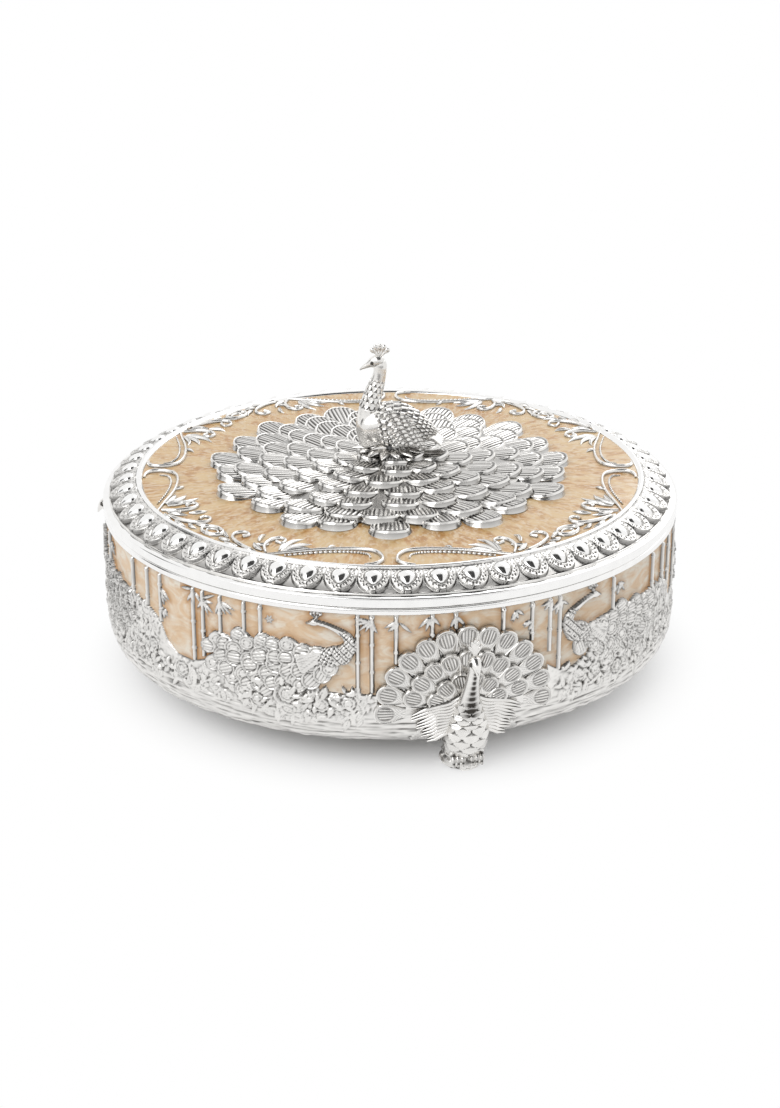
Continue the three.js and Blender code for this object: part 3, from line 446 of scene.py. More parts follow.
lens = bpy.data.cameras.new("camera")
lens.lens = FOCAL
lens.sensor_width = SENSOR
lens.clip_end = 50
camera = new_object("camera", lens)
bpy.context.scene.camera = camera
target = Vector((AXIS.x, AXIS.y, TARGET_Z)) * MM
level = CAMERA_DISTANCE * math.cos(CAMERA_PITCH * RADIAN)
rise = CAMERA_DISTANCE * math.sin(CAMERA_PITCH * RADIAN)
offset = Vector((*rotated(0, -level, CAMERA_TURN * RADIAN), rise)) * MM
camera.location = target + offset
camera.rotation_euler = (-offset).to_track_quat("-Z", "Y").to_euler()


# Floor, world, lamps and cards, in metres
FLOOR_HALF = 6
SHADOW_END = 0.10
WHITE_START = 0.17


def sheet(name, half, material):
    """A flat piece of the stage, from its (x, y) half sizes."""
    x, y = half
    mesh = bpy.data.meshes.new(name)
    mesh.from_pydata([(-x, -y, 0), (x, -y, 0), (x, y, 0), (-x, y, 0)], [], [(0, 1, 2, 3)])
    mesh.materials.append(material)
    return new_object(name, mesh)


def seen_rays(tree):
    """1 for the rays that show a surface or mirror it, and 0 for those that only light the box."""
    path = add(tree, "ShaderNodeLightPath", {}).outputs
    seen = maths(tree, "ADD", path["Is Camera Ray"], path["Is Glossy Ray"], clamp=True)
    return maths(tree, "ADD", seen, path["Is Transmission Ray"], clamp=True)


def floor():
    """A pale floor that keeps the box's shadow and goes to plain white away from it."""
    material, tree, shader = node_tree("pale_floor")
    dress(tree, shader, {"Base Color": (0.93, 0.93, 0.93), "Roughness": 0.9, "Specular IOR Level": 0.1})
    white = add(tree, "ShaderNodeEmission", {"Strength": 1.0, "Color": (1, 1, 1)}).outputs[0]
    distance = vector(tree, "LENGTH", add(tree, "ShaderNodeNewGeometry", {}).outputs["Position"])["Value"]
    reach = {"Value": distance, "From Min": SHADOW_END, "From Max": WHITE_START}
    far = add(tree, "ShaderNodeMapRange", reach, interpolation_type="SMOOTHSTEP").outputs[0]
    share = maths(tree, "MULTIPLY", seen_rays(tree), far)
    blend = add(tree, "ShaderNodeMixShader", {0: share, 1: shader.outputs[0], 2: white}).outputs[0]
    dress(tree, tree.nodes["Material Output"], {"Surface": blend})
    sheet("floor", (FLOOR_HALF, FLOOR_HALF), material)


def world():
    """Plain white where it is seen, and dimmer where it lights the box."""
    made = bpy.data.worlds.new("studio")
    bpy.context.scene.world = made
    made.use_nodes = True
    tree = made.node_tree
    strength = maths(tree, "MULTIPLY_ADD", seen_rays(tree), 0.45, 0.55)
    dress(tree, tree.nodes["Background"], {"Color": (1, 1, 1), "Strength": strength})


def aim_at(made, place, aim, front):
    """Puts an object at a place, its front axis towards the aim."""
    made.location = place
    made.rotation_euler = (Vector(aim) - made.location).to_track_quat(front, "Y").to_euler()


def lamp(name, place, size, power):
    """A rectangular lamp that faces the box."""
    light = bpy.data.lights.new(name, "AREA")
    light.shape = "RECTANGLE"
    light.size, light.size_y = size
    light.energy = power
    aim_at(new_object(name, light), place, (0, 0, 0.06), "-Z")


def card(name, place, size, shade, aim=(0, 0, 0.1)):
    """A dark card that only the metal's reflections see."""
    material, tree, shader = node_tree(name)
    dress(tree, shader, {"Base Color": (shade, shade, shade), "Roughness": 1})
    made = sheet(name, (size[0] / 2, size[1] / 2), material)
    aim_at(made, place, aim, "Z")
    made.visible_camera = made.visible_diffuse = made.visible_shadow = False


floor()
world()
lamp("key_lamp", (-0.9, -0.7, 1.2), (1.3, 1.2), 9)
lamp("back_lamp", (0.9, 0.8, 1.1), (1.3, 1.2), 7)
card("card_overhead", (0.0, -0.52, 0.98), (1.0, 1.05), 0.06)
card("card_left", (-1.3, 0.5, 0.5), (0.4, 0.8), 0.05)
card("card_front", (-0.25, -0.95, 0.01), (1.5, 0.8), 0.05, aim=(-0.25, -0.95, 1))


# Painting the wall's relief: distances inside a shape are positive
def ellipse(u, v, a, b):
    return (1 - np.hypot(u / a, v / b)) * min(a, b)


def bell(x, middle, width):
    """1 at the middle, falling to 0 either side."""
    return np.exp(-((x - middle) / width) ** 2)


def ramp(x, start, end):
    """A smooth step from 0 at start to 1 at end."""
    t = np.clip((x - start) / (end - start), 0, 1)
    return t * t * (3 - 2 * t)


class Relief:
    """Height and metal cover over a sheet that repeats every period."""

    def __init__(self, across, up, period):
        self.u, self.v = across, up
        self.period = period
        self.height = np.zeros((len(up), len(across)))
        self.cover = np.full_like(self.height, FAR_OUT)

    def stamp(self, place, reach, turn, draw):
        """Lays a shape over what is there. draw(u, v) gives inside distance and height, u along turn."""
        x, y = place
        for shift in (-self.period, 0, self.period):
            i = np.flatnonzero(abs(self.v - y) < reach)
            j = np.flatnonzero(abs(self.u - x - shift) < reach)
            if not len(i) or not len(j):
                continue
            window = np.ix_(i, j)
            du = (self.u[j] - x - shift)[None, :]
            dv = (self.v[i] - y)[:, None]
            c, s = math.cos(turn * RADIAN), math.sin(turn * RADIAN)
            inside, height = draw(du * c + dv * s, dv * c - du * s)
            edge = ramp(inside, -0.05, 0.4)
            self.height[window] = self.height[window] * (1 - edge) + height * edge
            self.cover[window] = np.maximum(self.cover[window], inside)


def lozenges(u, v, size):
    """A net of scales: 0 on its lines."""
    return abs(np.sin(math.pi * (u + v) / size) * np.sin(math.pi * (u - v) / size))


def eye_feather(length, width, lift, plain):
    """A shingle with a raised rim and ribs or an inner ring inside its round eye. u runs from root to tip."""
    def draw(u, v):
        centre = length - width / 2
        tip = width / 2 - np.hypot(np.maximum(u - centre, 0), v)
        side = width / 2 * ramp(u, -0.35 * length, centre) - abs(v)
        inside = np.where(u > centre, tip, np.minimum(side, u))
        slope = BANK + lift * np.clip(u / length, 0, 1)
        eye = ellipse(u - centre + 0.02 * width, v, 0.40 * width, 0.37 * width)
        ribs = (0.14 if plain else 0.3) * np.cos(TAU * v / 1.6) - plain * 0.5 * bell(eye, 1.3, 0.3)
        ring = 0.45 * bell(inside, 0.45, 0.35) + 0.3 * bell(eye, -0.7, 0.3)
        dome = 0.5 * np.clip(inside / (width / 2), 0, 1)
        filling = np.where(eye > 0, ribs * ramp(eye, 0, 0.5), 0)
        return inside, slope + dome + ring + filling - 0.4 * bell(eye, 0, 0.3)
    return draw


def leaf(length, width, ground, lift):
    """A pointed leaf with a sunk midrib and slanting veins."""
    def draw(u, v):
        t = np.clip(u / length, 0, 1)
        half = width / 2 * np.sin(math.pi * t ** 0.8)
        inside = np.where((u > 0) & (u < length), half - abs(v), -abs(v) - abs(u - length / 2) + length / 2)
        crown = np.clip(inside / (width / 2), 0, 1)
        veins = 0.12 * np.cos(TAU * (u - abs(v)) / 1.6)
        height = ground + lift * (0.35 + 0.65 * crown ** 0.6) - 0.5 * bell(v, 0, 0.3) * crown + veins * crown
        return inside, height
    return draw


def feather(length, width, ground, lift=1.2):
    """A long wing feather: blunt, with barbs slanting off a raised quill."""
    def draw(u, v):
        end = width / 2 - np.hypot(np.maximum(u - length + width / 2, 0), v)
        inside = np.where(u > length - width / 2, end, np.minimum(width / 2 - abs(v), u))
        barbs = 0.16 * np.cos(TAU * (u - 1.3 * abs(v)) / 1.3)
        height = ground + lift * (0.45 + 0.55 * np.clip(u / length, 0, 1)) + barbs + 0.3 * bell(v, 0, 0.3)
        return inside, height + 0.25 * bell(inside, 0.35, 0.3)
    return draw


def dome(a, b, ground, lift):
    """A round or oval bead."""
    def draw(u, v):
        inside = ellipse(u, v, a, b)
        crown = np.clip(1 - (u / a) ** 2 - (v / b) ** 2, 0, 1)
        return inside, ground + lift * crown ** 0.5
    return draw


PETALS = ((9, 0.66, 0.62), (7, 0.42, 0.5), (5, 0.2, 0.36))      # count, reach and length, as shares of the size


def peony(relief, place, size):
    """Three rings of cupped petals round a beaded heart."""
    for ring, (count, reach, petal) in enumerate(PETALS):
        def draw(u, v):
            inside = ellipse(u, v, petal * size * 0.55, petal * size * 0.62)
            rim = bell(inside, 0.35, 0.35)
            crown = BANK + 0.5 + 0.5 * ring - 0.5 * np.clip(-u / (petal * size), 0, 1)
            return inside, crown + 0.5 * rim + 0.15 * np.cos(9 * np.arctan2(v, u + size))
        for k in range(count):
            turn = (k + 0.5 * ring) * 360 / count
            at = (place[0] + reach * size * math.cos(turn * RADIAN), place[1] + reach * size * math.sin(turn * RADIAN))
            relief.stamp(at, size, turn, draw)
    relief.stamp(place, size, 0, dome(0.17 * size, 0.17 * size, BANK + 1.6, 0.7))


def cane(relief, angle, bottom):
    """A bamboo cane with swollen nodes, from the rim down to the bank."""
    phase = (angle * 7.3) % CANE_JOINT

    def draw(u, v):
        knot = bell((v + phase) % CANE_JOINT, CANE_JOINT / 2, 0.7)
        half = CANE_WIDTH / 2 + 0.35 * knot
        inside = np.minimum(half - abs(u), v + FIELD_TOP - bottom)
        height = 1.5 * np.sqrt(np.clip(1 - (u / half) ** 2, 0.05, 1)) + 0.35 * knot + 0.3
        return inside, height
    relief.stamp((round_wall(angle), FIELD_TOP), FIELD_TOP - bottom + 2, 0, draw)


def bamboo_leaves(relief, angle, z, count, size):
    """A fan of narrow leaves that hangs from a cane."""
    rng = np.random.default_rng(round(angle * 10))
    lean = rng.uniform(-45, 45)
    for k in range(count + 1):
        turn = -90 + lean + (k - count / 2) * 27 + rng.uniform(-12, 12)
        place = (round_wall(angle) + rng.uniform(-0.8, 0.8), z + rng.uniform(-0.8, 0.8))
        relief.stamp(place, size + 2, turn, leaf(size * rng.uniform(0.75, 1.25), 1.9, 0.5, 1.2))


# Layout of one third of the wall, by angle from the foot and height. The silver bank's top:
BANK_TOP = ((0, 76), (17.2, 46), (19, 43), (25.2, 41.5), (26, 47), (27.5, 58), (30, 64), (36, 64.5), (45, 63),
            (50, 62), (54, 60.5), (57, 56.5), (59, 48), (62, 43), (66, 42.5), (69.5, 46), (71.5, 50), (76, 54.5),
            (80, 57), (82.5, 61), (86, 63.5), (92.4, 62), (93, 42), (99.5, 40.5), (104, 41), (105, 50), (120, 76))
# Bamboo canes, with their lower ends, and leaf clusters, with their count and size
CANES = ((6.9, 70), (12.75, 62), (16.6, 54), (18.8, 43), (32.6, 64), (47.3, 61), (53, 61), (57.4, 56), (66.7, 43),
         (69.1, 47), (73.2, 53), (78.4, 57), (81.8, 62), (100.2, 40), (102.75, 42), (107.1, 57), (113.6, 70),
         (117.9, 74))
LEAF_CLUSTERS = ((16.8, 80, 3, 7), (18.6, 79, 4, 7.5), (34.2, 77, 4, 7), (57.6, 74, 2, 9), (58.6, 64, 3, 7),
                 (67, 80, 4, 7.5), (69.3, 77, 5, 8), (73.4, 79, 4, 8), (78.6, 62, 3, 5), (102.6, 80, 5, 8),
                 (107.3, 79, 4, 8), (113.4, 81, 3, 7), (118, 80, 3, 8), (9.5, 79, 3, 6), (12.6, 72, 2, 6))
# Peonies, with their size
PEONIES = ((87, 38, 6.5), (93.5, 34.5, 5.5), (98.5, 36.5, 5), (81, 33, 4.5), (27.5, 37, 6), (34, 33, 5.5),
           (41, 36, 6), (50, 34, 6), (55, 42, 5), (63.5, 36.5, 5.5))
# Small leaves. Rows: angles, heights, count, size, seed and ground
BANK_LEAVES = ((19, 56, 29, 44, 230, 6.5, 11, BANK), (38, 55.5, 42, 60, 170, 6.5, 12, BANK),
               (57, 76, 28, 40, 60, 6.5, 15, BANK), (76, 103, 28, 40, 160, 6.5, 13, BANK))
PEONY_LEAVES = ((24, 60, 30, 42, 34, 5.5, 16, BANK + 0.8), (78, 101, 30, 42, 34, 5.5, 17, BANK + 0.8))
LOWEST_ROOT = 30      # the trains have no feathers below this height
# A wall bird's neck and beak. Rows: forward in degrees, up, half width
NECK = ((0, 0, 4.8), (1.4, 5.3, 3.3), (0.9, 9.8, 2.3), (-0.7, 12.8, 1.6), (-2.6, 15, 1.25), (-4.3, 16.0, 1.35),
        (-5.1, 16.0, 1.75), (-5.9, 15.6, 0.9), (-6.8, 15.0, 0.25))


def wall_bird(relief, angle, z, side, train):
    """A peacock that looks back over its train. side is +1 where the train runs to smaller angles."""
    chest = (round_wall(angle), z)

    def at(forward, up):
        return chest[0] + side * forward, chest[1] + up

    def turned(degrees):
        return degrees if side > 0 else 180 - degrees
    rng = np.random.default_rng(int(angle))
    for k, reach in enumerate(np.arange(train, 14, -7.2)):
        first, last = 180 - 0.1 * (train - reach), 214 + 0.35 * (train - reach)
        count = max(3, round(reach * (last - first) * RADIAN / 6.6))
        step = (last - first) / count
        for degrees in np.linspace(first, last, count) + (step / 2 if k % 2 else 0):
            squeeze = 0.86 if degrees > 200 else 1.0
            r = (reach * squeeze - 12) * (1 - 0.004 * max(0, 186 - degrees) * (reach / 20))
            shift = rng.uniform(-0.9, 0.9, 2)
            root = at(r * math.cos(degrees * RADIAN) - 2 + shift[0], r * math.sin(degrees * RADIAN) * 0.78 + shift[1])
            if root[1] < LOWEST_ROOT:
                continue
            width = rng.uniform(7.6, 9.8)
            turn = turned(degrees + rng.uniform(-16, 16))
            relief.stamp(root, 15, turn, eye_feather(12.5, width, 1.7 - 0.05 * k, plain=rng.uniform() < 0.4))
    for k in range(7):
        relief.stamp(at(-3 - 1.2 * k, 1.5 - 0.5 * k), 24, turned(192 + 5 * k), feather(20 - 1.2 * k, 3.2, BANK + 0.7))

    def body(u, v):
        inside = ellipse(u, v, 8.5, 5.2)
        return inside, BANK + 1.3 + 1.1 * np.clip(inside / 5, 0, 1) ** 0.5 - 1.4 * (lozenges(u, v, 2.6) < 0.2)
    relief.stamp(at(-3.5, -0.5), 11, turned(20), body)
    path = smooth([(round_wall(f), up, half) for f, up, half in NECK], 60)

    def neck(u, v):
        inside = np.full(np.broadcast(u, v).shape, FAR_OUT)
        for f, up, half in path:
            inside = np.maximum(inside, half - np.hypot(u - side * f, v - up))
        scaly = (lozenges(u, v, 2.2) < 0.18) & (v < 12)
        return inside, BANK + 1.2 + 0.9 * np.clip(inside / 2, 0, 1) ** 0.5 - 1.1 * scaly
    relief.stamp(chest, 24, 0, neck)
    head = (round_wall(-4.8), 17.2)
    for k in (-1.5, -0.5, 0.5, 1.5):
        turn = 90 + 26 * k
        relief.stamp(at(*head), 6, turn, feather(3.6, 0.8, 0.6, 0.5))
        tip = (head[0] + 3.6 * math.cos(turn * RADIAN), head[1] + 3.6 * math.sin(turn * RADIAN))
        relief.stamp(at(*tip), 4, 0, dome(0.9, 0.9, 0.6, 1.0))


def scatter(relief, first, last, lowest, highest, count, size, seed, ground):
    """Small leaves at all angles over part of the bank."""
    rng = np.random.default_rng(seed)
    for _ in range(count):
        angle, z = rng.uniform(first, last), rng.uniform(lowest, highest)
        length = size * rng.uniform(0.7, 1.25)
        relief.stamp((round_wall(angle), z), length + 2, rng.uniform(0, 360),
                     leaf(length, length * rng.uniform(0.36, 0.6), ground + rng.uniform(-0.3, 0.3), 1.5))


def wall_relief(up):
    """The relief from the middle of one foot's fan round to the next."""
    across = np.linspace(-PERIOD / 2, PERIOD / 2, int(PERIOD / PITCH) + 1)
    relief = Relief(across, up, PERIOD)
    u, v = np.meshgrid(across % PERIOD, up)
    angles, tops = np.array(BANK_TOP).T
    top = np.interp(u / DRUM / RADIAN, angles, tops)
    near = np.minimum(u, PERIOD - u)
    fan = FAN_RADIUS - np.hypot(near, v - FAN_HUB)
    top = np.where((near < FAN_RADIUS + 2) & (v > FAN_HUB), FAR_OUT, top)
    relief.cover = np.clip(np.maximum(top - v, fan), FAR_OUT, -FAR_OUT)
    x, y = u / PERIOD * 24, v / 6
    waves = noise(x * 1.5, y * 6.6, 3, 36) + 0.5 * noise(x * 3, y * 10, 4, 72)
    lumps = noise(x * 3, y * 2.5, 5, 72) + 0.6 * noise(x * 8, y * 6, 6, 192)
    ripple = 1.05 * waves * ramp(v, 33, 27)
    silver_ground = BANK + ripple + 0.45 * lumps * ramp(v, 26, 34)
    edge = ramp(relief.cover, -0.05, 0.5)
    enamel = 0.12 * noise(x, y, 8, 24)
    relief.height = enamel * (1 - edge) + silver_ground * edge
    for angle, bottom in CANES:
        cane(relief, angle, bottom)
    for angle, z, count, size in LEAF_CLUSTERS:
        bamboo_leaves(relief, angle, z, count, size)
    for row in BANK_LEAVES:
        scatter(relief, *row)
    wall_bird(relief, 97.4, 61, 1, 72)
    wall_bird(relief, 22.0, 61, -1, 66)
    for angle, z, size in PEONIES:
        peony(relief, (round_wall(angle), z), size)
    for row in PEONY_LEAVES:
        scatter(relief, *row)
    for side in (-1, 1):
        for k in range(9):
            turn = 5.5 * k - 62
            relief.stamp((side * (4.5 + 0.9 * k), 43 - 2.6 * k), 28, turn if side > 0 else 180 - turn,
                         feather(23 - 0.9 * k, 4.2, 0.8, 1.5))
    flower = (round_wall(83.6), 75)
    for k in range(6):
        relief.stamp(flower, 4, 60 * k, leaf(2.6, 1.3, 0.3, 0.8))
    return relief


def body_profile(pitch):
    """Points (radius, height, outward) from under the base up to the rim bead, evenly spaced."""
    skin = DRUM + SKIN_GAP
    turn = np.linspace(0, math.pi / 2, 40)
    corner = [(skin - CORNER_INSET + CORNER_INSET * math.sin(a), BASE_Z - 0.1 + CORNER_RISE * (1 - math.cos(a)))
              for a in turn]
    rows = np.array([(skin - CORNER_INSET - 5, BASE_Z - 0.1), *corner, (skin, FIELD_TOP + 0.15)])
    length = np.concatenate([[0], np.cumsum(np.linalg.norm(np.diff(rows, axis=0), axis=1))])
    at = np.linspace(0, length[-1], int(length[-1] / pitch) + 1)
    r, z = np.interp(at, length, rows[:, 0]), np.interp(at, length, rows[:, 1])
    tangent = np.gradient(np.stack([r, z], -1), axis=0)
    tangent /= np.linalg.norm(tangent, axis=1)[:, None]
    up = at - at[-1] + FIELD_TOP
    return r, z, tangent[:, 1], -tangent[:, 0], up


def dressed_wall():
    """The wall's relief, once for each foot, flat and plain at its top and under the base."""
    r, z, out_r, out_z, up = body_profile(PITCH)
    relief = wall_relief(up)
    flat_top = ramp(up, FIELD_TOP, FIELD_TOP - 1.0)[:, None] * 0.9 + 0.1
    fade = flat_top * ramp(up, up[0] + 2, up[0] + 9)[:, None]
    height = relief.height * fade
    # Painted shade: dark in the relief's recesses and in a line along the edge of the silver against the enamel
    edge_shade = bell(relief.cover, 0.1, 0.35)
    tone = np.clip(painted_recess_shade(relief.height, 4, 0.45) ** 1.15 + 0.5 * edge_shade, 0, 1) * (relief.cover > -0.3)
    for k in range(FOOT_COUNT):
        angle = (relief.u / DRUM + k * FOOT_STEP)[None, :]
        points = round_drum(r[:, None] + height * out_r[:, None], angle, z[:, None] + height * out_z[:, None])
        replaced = [f"{n}_{k + 1}" for n in ("peacock_left", "peacock_right", "bamboo", "peony_bank")]
        if k == 0:
            replaced.append("enamel_band")
        Pieces().grid(points, OUTWARDS, tone=tone, cover=relief.cover).object(
            f"body_relief_{k + 1}", "case", WALL, replaced, edges=False)


# Modelled feathers: a grid whose columns run from root to tip, so that the ribs follow the mesh
def feather_grid(length, width, root_width, thick, ribs, rows, columns, eye, rim, dome, sink, back, dark, skirt, barbs):
    """A feather's points (rows, columns, 3) as along, across and out, and its tone.

    The tip is half round. Ribs lie along the feather inside its eye, which reaches eye times the width round the
    middle of the tip, and 1 / back times as far towards the root. The tone is painted shade: dark sets how dark the
    ribs' grooves are, and barbs how dark the painted lines outside the eye are. A skirt closes the edge down to the
    ground, by rings of depth below the last one, reach out and painted shade, a contact shadow at the feather's foot.
    """
    across = np.sin(np.linspace(-math.pi / 2, math.pi / 2, columns))
    centre = length - width / 2
    tip = centre + width / 2 * np.sqrt(np.clip(1 - across ** 2, 0, 1))
    t = np.linspace(0, 1, rows)[:, None] ** 0.8
    along = t * tip[None, :]
    share = np.clip(along / length, 0, 1)
    spread = root_width + (width - root_width) * ramp(share, -0.1, 0.7)
    half = spread / 2 * across[None, :]
    ahead = along - centre
    inside = np.minimum(spread / 2 - np.hypot(np.maximum(ahead, 0), half), spread / 2 - abs(half))
    disc = eye * width - np.hypot(np.where(ahead > 0, ahead, back * ahead), half)
    wave = 0.5 - 0.5 * np.cos(TAU * ribs * (across[None, :] + 1) / 2)
    ribbed = ramp(disc, 0.0, 0.4)
    line = bell(disc, 0, 0.26) * ramp(share, 0.2, 0.4)
    lift = thick[0] + (thick[1] - thick[0]) * share
    crown = dome * np.clip(1 - (half ** 2 + (0.6 * ahead) ** 2) / (width / 2) ** 2, -0.5, 1)
    out = lift + crown - sink * wave * ribbed - 0.3 * line + rim * bell(inside, 0.3, 0.3)
    # Painted shade: dark in the rib grooves, on the line round the eye, on a line just inside the rim and on the
    # stalk's barbs
    groove = bell(inside, 0.95, 0.22)
    tone = np.clip(dark * ramp(wave, 0.35, 0.8) * ribbed + 0.7 * line + 0.35 * groove, 0, 0.95)
    stalk = ramp(-disc, 0.5, 0.9) * ramp(inside, 0.6, 1.0)
    tone = np.maximum(tone, barbs * stalk * ramp(np.cos(TAU * (0.85 * along - 0.7 * abs(half))), -0.1, -0.9))
    grid = np.stack([along, half, out], -1)
    # each skirt ring carries its own painted shade, a contact shadow at the feather's foot
    for depth, splay, skirt_shade in skirt:
        grid, tone = np.pad(grid, ((1, 1), (1, 1), (0, 0)), mode="edge"), np.pad(tone, 1, mode="edge")
        outward = np.stack([np.maximum(grid[-1, :, 0] - centre, 0), grid[-1, :, 1]], -1)
        grid[-1, :, :2] += outward * splay / (width / 2)
        grid[:, 0, 1] -= splay
        grid[:, -1, 1] += splay
        for edge in ((0,), (-1,), (slice(None), 0), (slice(None), -1)):
            grid[(*edge, ..., 2)] = np.maximum(grid[(*edge, ..., 2)] - depth, 0)
            tone[edge] = skirt_shade
    return grid, tone


def shaded_sides(t, turn):
    """Painted shade down both sides of a long feather, in the gaps between feathers."""
    return 0, 0.9 * ramp(abs(np.cos(turn)), 0.6, 0.92)


def quill(t, turn):
    """Barbs slanting off the middle of a wing feather, with painted shade between the barbs and towards its edges."""
    barb = 0.5 + 0.5 * np.cos(TAU * (t * 12 - 0.5 * abs(np.cos(turn))))
    tone = 0.9 * ramp(abs(np.cos(turn)), 0.6, 0.95) + 0.3 * ramp(barb, 0.35, 0.0)
    return 0.08 * barb, np.clip(tone, 0, 1)


# dark, barbs and the last value of each skirt ring set the feathers' painted shade
ROSETTE_FEATHER = dict(ribs=9, rows=20, columns=61, eye=0.45, rim=0.2, dome=1.3, sink=0.55, back=0.6, dark=0.97,
                       skirt=((1.0, 0.5, 0.0), (0.1, -0.5, 0.55), (9, 1.1, 0.2)), barbs=0)
ROSETTE_THICK = 4.2
ROSETTE_TIP_TOP = 102.7
# Radius of the tips and number of feathers, and which rows make a ring of the model
ROSETTE_ROWS = ((96, 22), (83, 22), (70, 19), (57, 16), (44.5, 12), (32, 9), (20, 6))
ROSETTE_RINGS = ((0, 1), (2,), (3,), (4, 5), (6,))


def rosette_top(r):
    """The height that the feathers' tips reach at a radius."""
    return ROSETTE_TIP_TOP + (ROSETTE_ROWS[0][0] - r) * 0.105


def rosette():
    """Rings of eye feathers shingled down from the knob, each row standing in the gaps of the one outside it."""
    for ring, rows in enumerate(ROSETTE_RINGS):
        pieces = Pieces()
        for row in rows:
            tip, count = ROSETTE_ROWS[row]
            for j in range(count):
                back = 5.5 * (j % 2) + 1.4 * math.sin(j * 2.4) if row == 0 else 2.4 * math.sin(j * 2.4 + row)
                reach_tip = tip - abs(back)
                length = min(26, reach_tip - 2)
                width = min(20.4, TAU * (tip - 7) / count) * (0.96 + 0.05 * math.sin(j * 5.3 + row))
                grid, tone = feather_grid(length, width, 0.72 * width, (0.4, ROSETTE_THICK - 0.9), **ROSETTE_FEATHER)
                turn = (j + 0.5 * (row % 2)) * TAU / count + 0.37 * row + LID_TURN * RADIAN
                turn += 0.03 * math.sin(j * 1.7 + row)
                twist = 0.15 * math.sin(j * 3.1 + row)
                along, across, out = grid[..., 0] - length, grid[..., 1], grid[..., 2]
                reach = reach_tip + along * math.cos(twist) - across * math.sin(twist)
                side = across * math.cos(twist) + along * math.sin(twist)
                ground = max(rosette_top(reach_tip) - ROSETTE_THICK, DISC_TOP + 0.2)
                pieces.grid(from_axis(*rotated(side, -reach, turn), ground + out), UP, tone=tone)
        pieces.object(f"rosette_feathers_{ring + 1}", "lid", ORNATE, [f"feather_ring_{ring + 1}"])
    plate = [(r, rosette_top(r) - ROSETTE_THICK + 0.9) for r in np.linspace(2, 70, 30)]
    plate.append((72, DISC_TOP))
    # the plate is darkened all over with painted shade, as it shows only in the gaps between the feathers
    turned_piece("rosette_plate", "lid", ORNATE, plate, "rosette_dome", UP, sides=180, tone=0.6)


# Rows of a tail fan: feathers, half spread, tip radius, length, width
FAN_ROWS = ((13, 90, 43.8, 15, 10.4), (9, 72, 31.6, 14, 9.6), (6, 66, 20.6, 12, 8.8))
# dark, barbs and the last value of the skirt set the feathers' painted shade
FAN_FEATHER = dict(ribs=7, rows=26, columns=57, eye=0.34, rim=0.5, dome=0.5, sink=0.4, back=0.85, dark=0.66,
                   skirt=((9, 0.3, 0.75),), barbs=0.35)


def fans():
    """Tail fans on the wall, with wings over their lower feathers."""
    for number in range(FOOT_COUNT):
        pieces = Pieces()

        def place(s, z, out):
            """Places distance round the wall from the foot, height and height off the dressed wall."""
            return round_drum(DRUM + SKIN_GAP + out, s / DRUM + number * FOOT_STEP, z)
        for k, (count, spread, tip, length, width) in enumerate(FAN_ROWS):
            grid, tone = feather_grid(length, width, 0.5 * width, (0.4, 1.7), **FAN_FEATHER)
            reach, across, out = tip - length + grid[..., 0], grid[..., 1], grid[..., 2]
            for j, degrees in enumerate(np.linspace(-spread, spread, count)):
                turn = degrees * RADIAN
                s = reach * math.sin(turn) + across * math.cos(turn)
                z = FAN_HUB + reach * math.cos(turn) - across * math.sin(turn)
                pieces.grid(place(s, z, BANK + 0.2 + 0.75 * k + 0.3 * (j % 2) + out), OUTWARDS, tone=tone)
        for side in (-1, 1):
            for k in range(11):
                quills = ((3, 0.9), (8.5, 1.1), (14, 1.1), (20 - 0.5 * k, 1.0), (26 - 0.8 * k + k % 3, 0.3))
                wing = [(u, 39.5 - 1.7 * k - 0.3 * (u - 3) + 0.8 * math.sin(0.45 * u + 0.35 * k), half,
                         1.3 - 0.7 * (u > 25 - 0.8 * k)) for u, half in quills]
                pieces.limb(OUTWARDS, wing, lambda u, v, w: place(side * u, v, BANK + 2.8 - 0.14 * k + w),
                            40, 14, shaded_sides)
        pieces.object(f"fan_feathers_{number + 1}", "case", ORNATE, [f"fan_relief_{number + 1}"])


# Rims and the lid's ornament
def rims():
    """The plain polished rings of the case and the lid."""
    bead = radius("rim_bead") + 0.1
    bottom, top = low("rim_bead").z - 0.1, high("rim_bead").z
    profile = rounded([(DRUM - 1, bottom), (bead, bottom), (bead, top), (DRUM - 2, top)], 1.4)
    turned_piece("rim_bead_round", "case", POLISHED, profile, "rim_bead")
    band = radius("lid_band") + 0.1
    bottom, top = low("lid_band").z, high("lid_band").z
    inner = radius("egg_border")
    profile = rounded([(DRUM - 2, bottom), (band, bottom), (band, top - 0.2), (band - 1.6, top + 0.25),
                       (inner - 1.5, top + 0.3)], 0.7)
    turned_piece("lid_band_round", "lid", POLISHED, profile, "lid_band")


EGG_COUNT = 56
EGG_HALF = 0.285      # half width, as a share of the spacing
EGG_MIDDLE = 0.33     # place across the border, from its inner edge
EGG_REACH = (0.24, 0.36)        # from the middle, inwards and outwards
EGG_COLUMNS = 44      # of the mesh, for each egg
EGG_ROWS = 40


